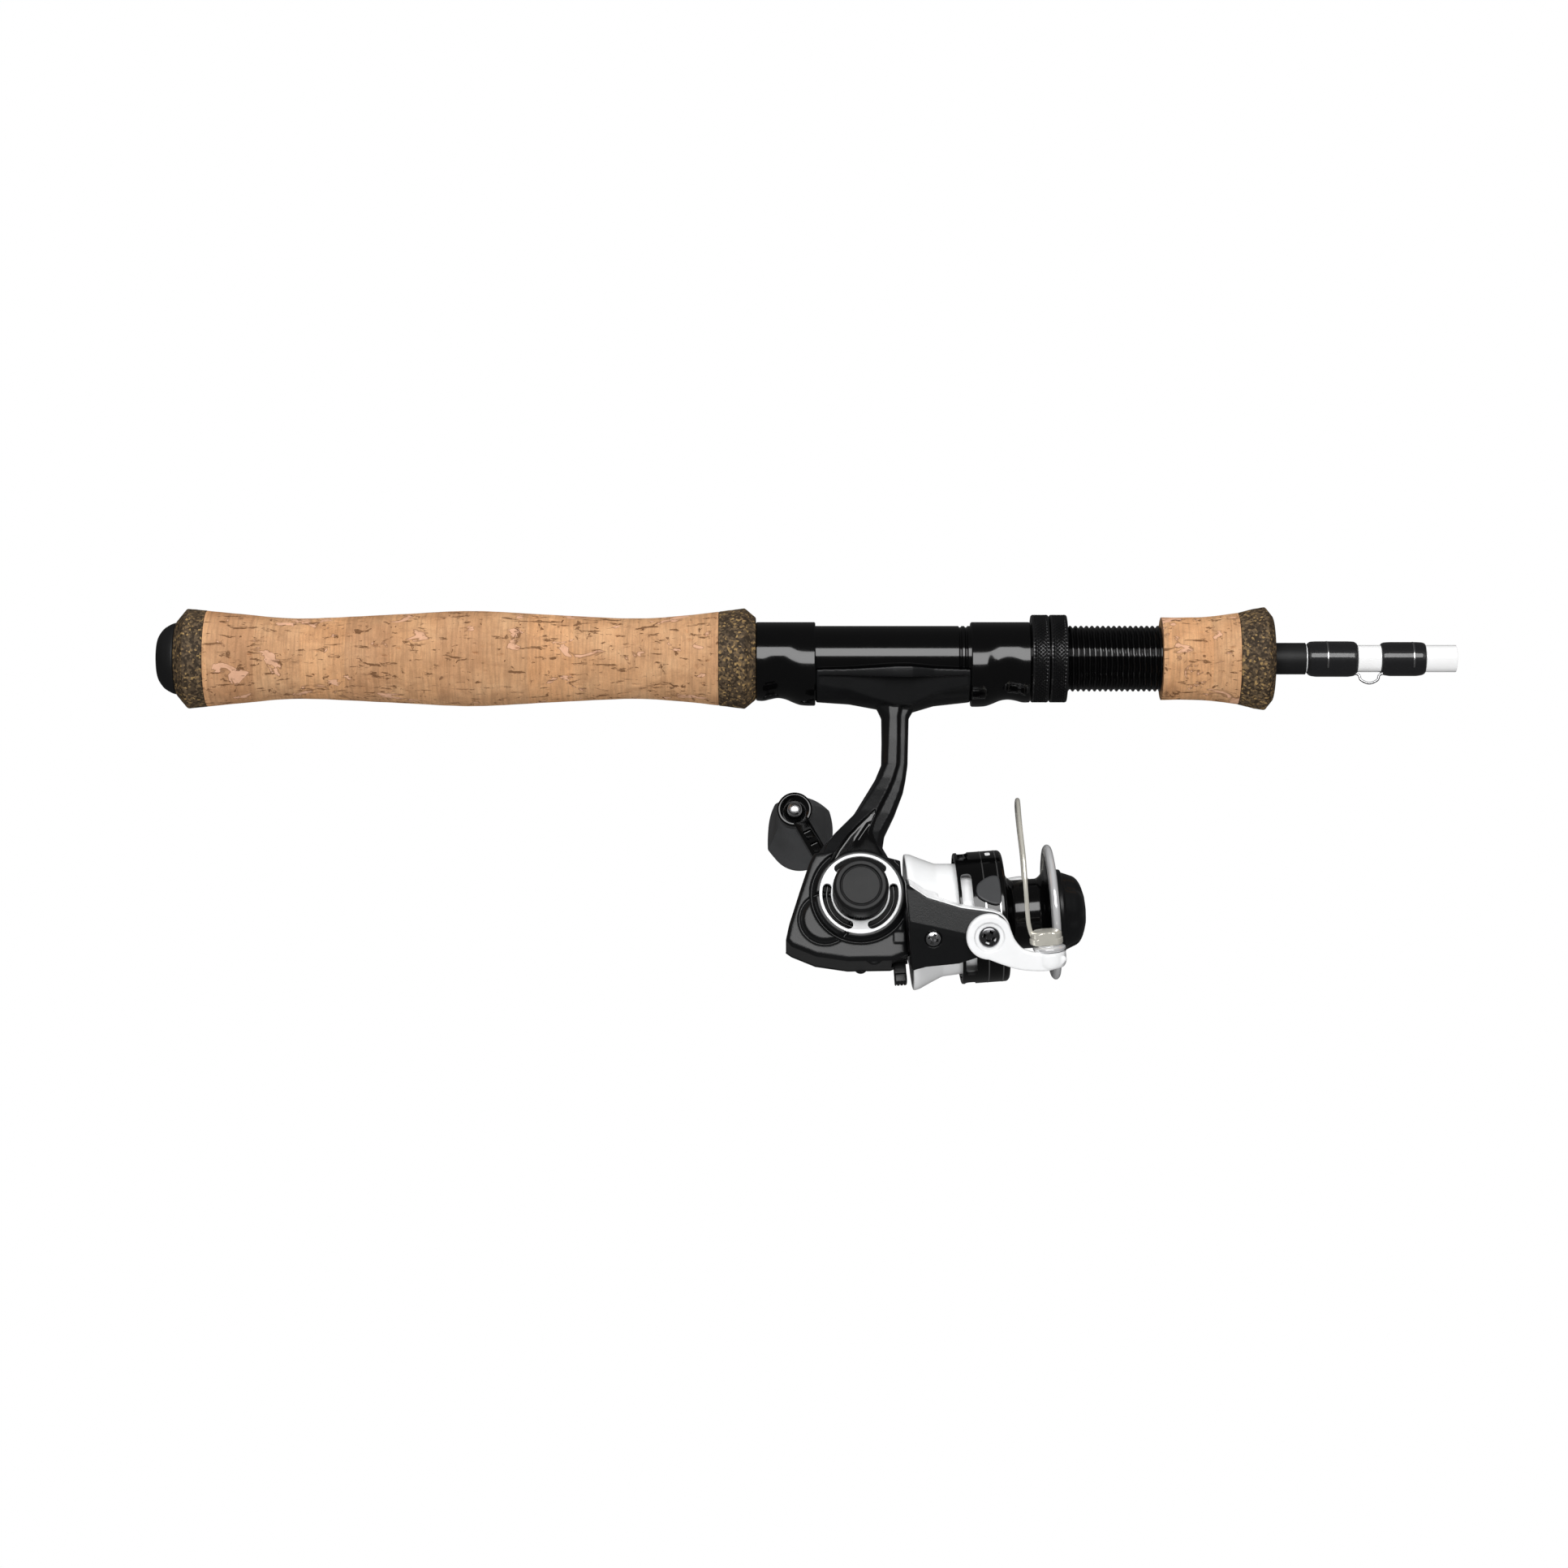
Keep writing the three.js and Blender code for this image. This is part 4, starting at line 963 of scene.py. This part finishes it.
def shape_leaf(body):
    """The recess's floor leans back at its top, with a slim furrow along its middle."""
    start, end = Vector((-9.6, -52.4)), Vector((-6.9, -48.2))
    along = (end - start).normalized()
    for vertex in body.data.vertices:
        x, y, z = vertex.co / MM
        if -5.8 < y < -4.9 and inside_outline(x, z, LEAF):
            offset = Vector((x, z)) - start
            length = offset.dot(along)
            across = offset.x * along.y - offset.y * along.x
            outside = max(0.0, -length, length - (end - start).length)
            furrow = math.exp(-(across / 0.7) ** 2 - (outside / 1.2) ** 2)
            vertex.co.y += (0.1 * (z + 52) + 0.42 * furrow) * MM


def paint_hollows(body):
    """The leaf-shaped recess below the stem and the channel behind the ring are glossy, the rest satin."""
    for face in body.data.polygons:
        x, y, z = face.center / MM
        faces_front = face.normal.y < -0.8
        leaf = -7.5 < y < -2 and faces_front and inside_outline(x, z, LEAF)
        reach = math.hypot(x - AXLE_PLACE.x, z - AXLE_PLACE.z)
        channel = CHANNEL_INNER < reach < CHANNEL_OUTER and CASE_NEAR - 0.9 < y < CASE_NEAR + 1
        if leaf or channel:
            face.material_index = 1


def make_reel_frame():
    foot = make_foot()
    stem = make_stem()
    body = case_solid()
    raise_underside(body)
    combine(body, [stem, foot], "UNION")
    combine(body, case_cuts() + [plate("leaf_cut", [LEAF], -14, -5.2, bevel=0.05)])
    cast(body, 0.22, 8)
    shape_leaf(body)
    dress(body, "satin_black", ROD)
    body.data.materials.append(MATERIALS["gloss_black"])
    paint_hollows(body)


def make_side_cover():
    cover = plate("side_cover", [CASE_OUTLINE], CASE_FAR + 0.3, 11.2, bevel=1.1)
    boss = disc([(9, 0), (9, 9.6), (11.9, 9.0), (11.9, 5.6), (11.4, 5.2), (11.4, 0)], AXLE_HOLE, soft=0.4)
    raise_underside(cover)
    combine(cover, [boss], "UNION")
    cuts = [rod(7, 12.2, SHAFT_HOLE, AXLE_HOLE), rod(7, 10.4, BEARING_SEAT, AXLE_HOLE),
            rod(-23.3, -10, 11.3, SPOOL)]
    cuts += [rod(10, 12, 2.1, screw_place(name), 40) for name in COVER_SCREWS]
    combine(cover, cuts)
    dress(cover, "satin_black", ROD)


def make_side_ring():
    """The white trim ring, with three kidney-shaped slots whose ends are round."""
    centre = (AXLE_PLACE.x, AXLE_PLACE.z)
    middle_radius, half_width, half = 9.0, 1.15, 40
    loops = [arc(centre, radius, 0, 360, count)[:-1] for radius, count in ((10.95, 128), (7.35, 96))]
    for i in range(3):
        middle = -90 + (i + 0.5) * 120
        loop = []
        for side, start in ((1, 0), (-1, 180)):
            first, last = middle - side * half, middle + side * half
            turn = math.radians(last)
            end = (centre[0] + middle_radius * math.cos(turn), centre[1] + middle_radius * math.sin(turn))
            loop += arc(centre, middle_radius + side * half_width, first, last, 40)[:-1]
            loop += arc(end, half_width, last + start, last + start + 180, 12)[:-1]
        loops.append(loop)
    dress(plate("side_ring", loops, -13.3, -12.2, bevel=0.18), "gloss_white", ROD)


# ---------------------------------------------------------------- screws
COVER_SCREWS = ("cover_screw_1", "cover_screw_2")


def screw_place(name):
    """The frame of a screw in the cover, at its CAD node."""
    middle = (low(name) + high(name)) / 2
    return along_y(middle.x, middle.z)


def make_screw(name, head, radius, place, body, material="steel"):
    """A pan head with a cross recess, seen from -X of its frame."""
    rim, shank, shank_end = head + 0.9, 0.95, head + 6
    profile = [(head, 0), (head + 0.08, radius * 0.45), (head + 0.35, radius * 0.85), (head + 0.7, radius),
               (rim, radius), (rim, shank), (shank_end, shank), (shank_end, 0)]
    screw = revolve(name, rounded(profile, 0.2, 3), place, 48)
    arm, half, floor = radius * 0.66, radius * 0.19, head + 1.1
    combine(screw, [block((head - 1, -arm, -half), (floor, arm, half), place),
                    block((head - 1, -half, -arm), (floor, half, arm), place)])
    dress(screw, material, body)


def make_screws():
    for name in COVER_SCREWS:
        make_screw(name, -11.3, 1.9, turned(screw_place(name), math.pi, "Z"), ROD)
    slant = math.radians(24)
    for side, place in ROTOR_SIDES.items():
        make_screw(f"arm_cover_screw_{side}", -24.25, 2.1,
                   turned(along_y(ARM_SCREW_X, 0, place), slant), "rotor")
    for side, angle in (("near", slant), ("far", 0)):
        make_screw(f"bail_pivot_screw_{side}", -27.2, 2.8,
                   turned(along_y(PIVOT_X, 0, ROTOR_SIDES[side]), angle), "rotor", "dark_steel")


make_reel_frame()
make_side_cover()
make_side_ring()
make_screws()


# ---------------------------------------------------------------- reel: crank and its parts
def make_handle_cap():
    ribs, rib_start, rib_end = 64, -17.6, -12.6

    def knurl(x, radius, angle):
        if rib_start < x < rib_end and radius > 6.2:
            fade = clamp((rib_end - x) / 0.5) * clamp((x - rib_start) / 1.2)
            return radius - 0.22 * fade * (0.5 + 0.5 * math.cos(ribs * angle))
        return radius
    side = smooth_profile([(-22.2, 7.25), (-20, 7.45), (-17.5, 7.4), (-15, 7.1), (-13, 6.95)], 24)
    profile = [(-22.75, 0), (-22.75, 5.0), (-22.5, 5.15), (-22.5, 5.35), (-23, 5.6), (-23, 6.6)] + side
    profile += [(-12.45, 6.7), (-12.45, SHAFT_BORE), (-19, SHAFT_BORE), (-20, 0)]
    dress(revolve("handle_cap", rounded(profile, 0.18, 3), AXLE, ribs * 5, knurl), "matt_black", "handle")


def make_crank():
    profile = [(12.6, 0), (12.6, 5.2), (17, 5.2), (18.5, 4.6), (23.4, 4.6), (24.2, 3.4), (24.2, 0)]
    hub = revolve("crank_arm", rounded(profile, 0.5), CRANK)
    side = [(18.6, 1), (18.6, 3.8), (21.5, 14), (27.2, 33), (28, 36), (28, 41), (31.5, 41), (31.5, 34),
            (30.5, 31), (24.6, 11), (23.4, 1)]
    arm = plate("crank_bar", [side], -2.15, 2.15, CRANK, 0.45)
    boss = disc([(28, 0), (28, 4.9), (31.5, 4.9), (31.5, 0)], CRANK_TIP, soft=0.6)
    combine(hub, [arm, boss], "UNION")
    dish = revolve("dish", [(26, 1.9), (26, 4.1), (28.3, 4.1), (29.5, 2.1), (29.5, 1.9)], CRANK_TIP)
    cuts = [rod(12, 21.8, SHAFT_BORE, CRANK), rod(26, 33, 1.75, CRANK_TIP), dish]
    # A ladder of small cells lightens the face of the arm.
    slant = math.atan2(6.0, 20.0)
    for i in range(6):
        z = 8.5 + i * 4.2
        x = 18.6 + (z - 3.8) * 0.30
        place = turned(shifted(CRANK, x, 0, z), slant, "Y")
        cuts.append(block((-1.5, -1.2, -1.55), (0.75, 1.2, 1.55), place, 0.3))
    combine(hub, cuts)
    dress(hub, "gloss_black", "handle")
    profile = [(27.0, 0), (27.08, 0.8), (27.3, 1.5), (27.7, 1.95), (28.4, 1.95), (28.4, 1.6), (57, 1.6),
               (57, 0)]
    dress(revolve("knob_pin", rounded(profile, 0.25), CRANK_TIP, 64), "steel", "handle")


def make_knob():
    """A soft paddle: round at the crank, then four-sided and set off to one side, with a rounded wide end."""
    start, end = low("handle_knob").y, high("handle_knob").y
    place = basis((KNOB_PLACE.x * MM, 0, KNOB_PLACE.z * MM), (0, 1, 0), (-1, 0, 0))
    stations = smooth_profile([
        (start, 4.2), (start + 1.0, 5.0), (start + 5, 5.8), (start + 21, 9.6), (start + 23.5, 9.7),
        (start + 27, 8.6), (end - 0.8, 6.4), (end, 4.6)], 80)
    corner, quarter = math.radians(57), math.pi / 2

    def paddle(x, radius, angle):
        share = clamp((x - start - 2) / 12) * clamp((end - 3 - x) / 8)
        facet = math.cos(quarter / 2) / math.cos((angle - corner) % quarter - quarter / 2)
        grown = clamp((x - start - 2) / 14)
        taller = 1 + 0.15 * grown * math.sin(angle) ** 2
        return radius * (1 + (facet - 1) * 0.55 * share) * taller - 1.7 * grown * math.cos(angle)
    knob = revolve("handle_knob", [(start, 0)] + stations + [(end, 0)], place, 160, paddle)
    combine(knob, [rod(start - 1, end - 4, 1.7, place, 32)])
    with editing(knob.data) as work:
        shade(work, math.radians(12))
    dress(knob, "rubber", "knob")


def make_reverse_lever():
    tip, hinge, back, front = -18.6, -9.6, -24, -20.7
    pivot = shifted(SPOOL, z=hinge)
    profile = [(back, 0), (back, 2.2), (front, 2.2), (front, 0)]
    lever = revolve("anti_reverse_lever", rounded(profile, 0.3), pivot, 48)
    combine(lever, [block((back, -1.6, tip + 1.8), (front, 1.6, hinge), SPOOL, 0.3),
                    block((back, -2.4, tip + 1.8), (front, 2.4, tip + 4.4), SPOOL, 0.5),
                    rod(-27.4, -23.5, 1.4, pivot, 32)], "UNION")
    combine(lever, [block((-23.6 + 0.9 * i, -3, tip), (-23.3 + 0.9 * i, 3, tip + 2.15), SPOOL)
                    for i in range(3)])
    dress(lever, "satin_black", "reverse_lever")


make_handle_cap()
make_crank()
make_knob()
make_reverse_lever()


# ---------------------------------------------------------------- reel: rotor and its arms
def arm_outline(inset=0.0, reach=0.0):
    """Along and across the arm, from its root round the pivot. reach lengthens the root."""
    root = -19.1 + inset - reach
    points = [(root, -8.5 + inset), (-16, -7.8 + inset), (-7.5, -7.5 + inset)]
    points += arc((PIVOT_X, 0), 6.1 - inset, -108, 77, 32)
    return points + [(-6.0, 7.7 - inset), (-14.7, 11.1 - inset), (root, 14.6 - inset + reach * 0.5)]


def make_rotor():
    profile = [(-19.1, 16.9), (-19.1, 18.4), (-17.6, 18.2), (-14.2, 16.6), (-11, 15.2), (-5.3, 14.8),
               (0.8, 14.6), (0.8, 13.2), (-6.5, 13.2), (-6.5, 3.05), (-10.5, 3.05), (-10.5, 6.5), (-8.6, 6.5),
               (-8.6, 13.3), (-14.2, 15)]
    inner = [(-21, 0), (-21, 17.4), (-14.2, 15), (-8.6, 13.3), (-8.6, 0)]
    bell = revolve("rotor", rounded(profile, 0.4, 3), SPOOL, 160)
    arms = []
    for side in ROTOR_SIDES.values():
        arm = plate("arm", [arm_outline()], -ARM_OUTER, -12, side, 0.3)
        arms.append(combine(arm, [
            rod(-11.4, 9, 19.1, SPOOL, 128), revolve("inner", inner, SPOOL, 128),
            rod(-30, -15, PIVOT_BORE, along_y(PIVOT_X, 0, side), 32),
            rod(-30, -15, ARM_SCREW_BORE, along_y(ARM_SCREW_X, 0, side), 24)]))
    combine(bell, arms, "UNION")
    cast(bell, 0.3, 3)
    dress(bell, "gloss_white", "rotor")


def cover_face(x, z):
    """How far the cover's face falls back above its crease and below it."""
    crease = 5.2 - (x + 19.8) * 0.30
    upper = max(0.0, z - crease)
    lower = max(0.0, crease - 1.5 - z)
    return min(2.1, 0.25 * upper) + min(0.9, 0.08 * lower)


def make_arm_cover(name, side):
    """A black cover with a wall over the arm's root, whose face falls away above a crease."""
    inside = ARM_OUTER + 0.1
    cover = plate(name, [arm_outline(0.25, 0.9)], -COVER_OUTER, -inside, side, 0.15)
    screw = along_y(ARM_SCREW_X, 0, side)
    combine(cover, [block((-19.95, -COVER_OUTER + 0.2, -8.3), (-19.2, -14.5, 14.7), side)], "UNION")
    combine(cover, [rod(-30, -15, 1.8, along_y(PIVOT_X, 0, side), 32), rod(-25, -23.1, 2.3, screw, 48),
                    rod(-25, -20, ARM_SCREW_BORE, screw, 24)])
    cast(cover, 0.2, 2)
    back = side.inverted()
    for vertex in cover.data.vertices:
        x, y, z = back @ (vertex.co / MM)
        share = clamp((-inside - y) / (COVER_OUTER - inside))
        vertex.co += (side.to_3x3() @ Vector((0, share * cover_face(x, z), 0))) * MM
    dress(cover, "satin_black", "rotor")


# ---------------------------------------------------------------- reel: bail
def make_bail_arm():
    pivot = along_y(PIVOT_X, 0, ROTOR)
    outline = arc((PIVOT_X, 0), 6.1, 64, 262, 48)
    outline += smooth_profile([
        (0.2, -6.05), (4.0, -7.8), (8.0, -9.3), (12.9, -10.1), (16.9, -10.1), (19.5, -9.0)], 40)
    outline += smooth_profile([
        (20.9, -7.6), (20.3, -6.6), (17.2, -5.5), (14, -5.1), (12.2, -5.0), (10.8, -4.5), (9.2, -3.6),
        (7.4, -1.0), (5.9, 3.2), (3.6, 5.3)], 60)
    lever = plate("bail_arm", [outline], -27, -24.4, ROTOR, 0.7)
    cup = disc([(-9.8, 0), (-9.8, 3.7), (-8.6, 4.35), (-5.45, 4.35), (-5.45, 0)], ROLLER, soft=0.8)
    combine(lever, [cup], "UNION")
    combine(lever, [disc([(-28, 0), (-28, 4.1), (-26.2, 3.9), (-26.2, 0)], pivot, soft=0.15),
                    rod(-30, -20, PIVOT_BORE, pivot, 48)])
    cast(lever, 0.2)
    dress(lever, "gloss_white", "bail")


def make_bail_holder():
    pivot = along_y(PIVOT_X, 0, ROTOR_SIDES["far"])
    outline = arc((PIVOT_X, 0), 5.6, 70, 290, 48)
    outline += smooth_profile([
        (3.2, -5.1), (7, -3.2), (11, -1.3), (15.4, 0.9), (16.6, 2.9), (15.6, 4.7), (13.4, 5.2), (8, 4.8),
        (3.2, 5.2)], 60)
    lever = plate("bail_holder", [outline], 24.4, 26.8, ROTOR, 0.7)
    combine(lever, [rod(-28, -26.2, 3.5, pivot), rod(-30, -20, PIVOT_BORE, pivot, 48)])
    cast(lever, 0.2)
    dress(lever, "gloss_white", "bail")


def make_bail_wire():
    wire = tube("bail_wire", [
        (13.4, -23.5, -1.9), (12.3, -23.5, -1.2), (11.6, -23.6, 1.5), (11.4, -23.6, 4.5), (11.35, -22.8, 12),
        (11.45, -20, 19.6), (11.5, -13.5, 26.6), (12.3, 0, 30.9), (12.95, 13.5, 27), (13.65, 20.5, 20),
        (14.3, 23.2, 12), (14.5, 24.3, 6.5), (14.5, 24.9, 3.2)], 0.6, ROTOR, 220, 18)
    dress(wire, "warm_steel", "bail")


def make_line_roller():
    bore = 1.35
    profile = [(-5.2, bore), (-5.2, 4.1), (-4.9, 4.35), (-4.3, 4.35), (-3.95, 3.7), (-3.75, 3.5), (-3.5, 3.6),
               (-3.5, bore)]
    dress(revolve("line_roller", rounded(profile, 0.2), ROLLER), "chrome", "roller")


def make_roller_cap():
    """The cap has two flats and reaches out to where the wire is staked."""
    def facets(x, radius, angle):
        if radius < 2:
            return radius
        longer = radius * (1 + 0.36 * max(0.0, math.sin(angle)) ** 1.5)
        return min(longer, 3.1 / max(1e-3, abs(math.cos(angle))))
    profile = [(-8.8, 0), (-8.8, 1.2), (-3.4, 1.2), (-3.4, 3.6), (-3.2, 3.75), (-1.9, 3.75), (-1.7, 3.5),
               (-0.5, 3.5), (0.05, 3.0), (0.25, 0)]
    cap = revolve("roller_cap", rounded(profile, 0.2), ROLLER, 160, facets)
    dress(cap, "warm_steel", "bail")


make_rotor()
for side_name, side_place in ROTOR_SIDES.items():
    make_arm_cover("arm_cover_" + side_name, side_place)
make_bail_arm()
make_bail_holder()
make_bail_wire()
make_line_roller()
make_roller_cap()


# ---------------------------------------------------------------- reel: spool and drag
def make_spool():
    """The spool with round-ended ports through its skirt, and the lines and mark on the skirt."""
    profile = [(-5.9, 16.4), (-5.9, 17.65), (6.2, 17.65), (6.9, 17.0), (7.4, 11.6), (8.0, 10.2), (9.2, 9.3),
               (16.0, 9.3), (17.2, 10.2), (17.8, 11.6), (18.2, 15.8), (19.9, 15.8), (20.2, 12.2), (20.2, 7.6),
               (11, 7.6), (11, 1.65), (3, 1.65), (3, 4.2), (5.2, 4.2), (5.2, 16.4)]
    spool = revolve("spool", rounded(profile, 0.45), SPOOL, 192)
    port = rounded_loop([(-5.0, -6.2), (-2.1, -6.2), (-2.1, 6.2), (-5.0, 6.2)], 1.2)
    combine(spool, [plate("port", [port], -20, -14, turned(SPOOL, math.radians(-8 + 60 * i)), 0.05)
                    for i in range(6)])
    dress(spool, "gloss_black", "spool")
    for i, x in enumerate((1.15, 5.0)):
        profile = [(x - 0.16, 17.4), (x - 0.16, 17.69), (x + 0.16, 17.69), (x + 0.16, 17.4)]
        dress(revolve(f"spool_stripe_{i}", profile, SPOOL, 192), "silver_trim", "spool")
    mark = rounded_loop([(2.4, -1.0), (3.8, -1.0), (3.8, 1.0), (2.4, 1.0)], 0.5)
    dot = plate("spool_dot", [mark], -17.72, -17.3, turned(SPOOL, math.radians(-58)), 0.05)
    dress(dot, "gloss_white", "spool")
    profile = [(18.3, 15.9), (18.5, 17.5), (19.2, 18.2), (19.9, 18.2), (20.5, 17.6), (20.75, 15.9)]
    dress(revolve("spool_lip", rounded(profile, 0.5, 5), SPOOL, 192), "chrome", "spool")


def make_line_clip():
    outline = smooth_profile([
        (-1.3, 0.2), (-0.6, 2.2), (2.2, 4.0), (4.6, 4.1), (5.3, 2.4), (5.3, -2.2), (4.6, -4.0), (2.4, -3.7),
        (-0.6, -1.8), (-1.3, 0.2)], 60)[:-1]
    clip = plate("line_clip", [outline], -18.45, -17.6, turned(SPOOL, math.radians(-9)), 0.3)
    cast(clip, 0.12)
    dress(clip, "clip_grey", "spool")


def make_drag_knob():
    lobes, lobe_start, hub = 6, 22.6, 3

    def lobed(x, radius, angle):
        if x < lobe_start or radius < hub:
            return radius
        depth = min(1.0, (x - lobe_start) / 1.2) * min(1.0, (radius - hub) / 3)
        wave = 0.5 - 0.5 * math.cos(lobes * angle)
        return radius - 0.8 * depth * wave ** 4
    front = smooth_profile([(22.7, 10.5), (24.5, 9.8), (26.3, 8.9), (27.6, 7.0), (28.5, 4.0)], 30)
    profile = [(15, 0), (15, 6.4), (20.9, 6.4), (20.9, 11.0), (21.2, 11.4), (22.3, 11.3), (22.6, 10.9)]
    knob = revolve("drag_knob", rounded(profile + front + [(28.9, 0)], 0.3, 3), SPOOL, 240, lobed)
    combine(knob, [rod(14, 24.4, 1.65, SPOOL, 32)])
    dress(knob, "satin_black", "drag")


make_spool()
make_line_clip()
make_drag_knob()


# ---------------------------------------------------------------- inner pieces kept from the CAD model
KEPT = {
    "steel": ["bearing_near", "bearing_far", "pinion_bearing", "one_way_clutch", "drive_shaft", "rotor_nut",
              "bail_spring", "spindle"],
    "brass": ["pinion", "oscillation_gear"],
    "zinc": ["drive_gear", "oscillation_slider"],
    "felt": ["drag_washers"],
    "matt_black": ["seat_arbor_rear", "seat_arbor_front"],
}
for material_name, nodes in KEPT.items():
    for node in nodes:
        mesh = frame["nodes"][node].data
        mesh.materials.clear()
        mesh.materials.append(MATERIALS[material_name])
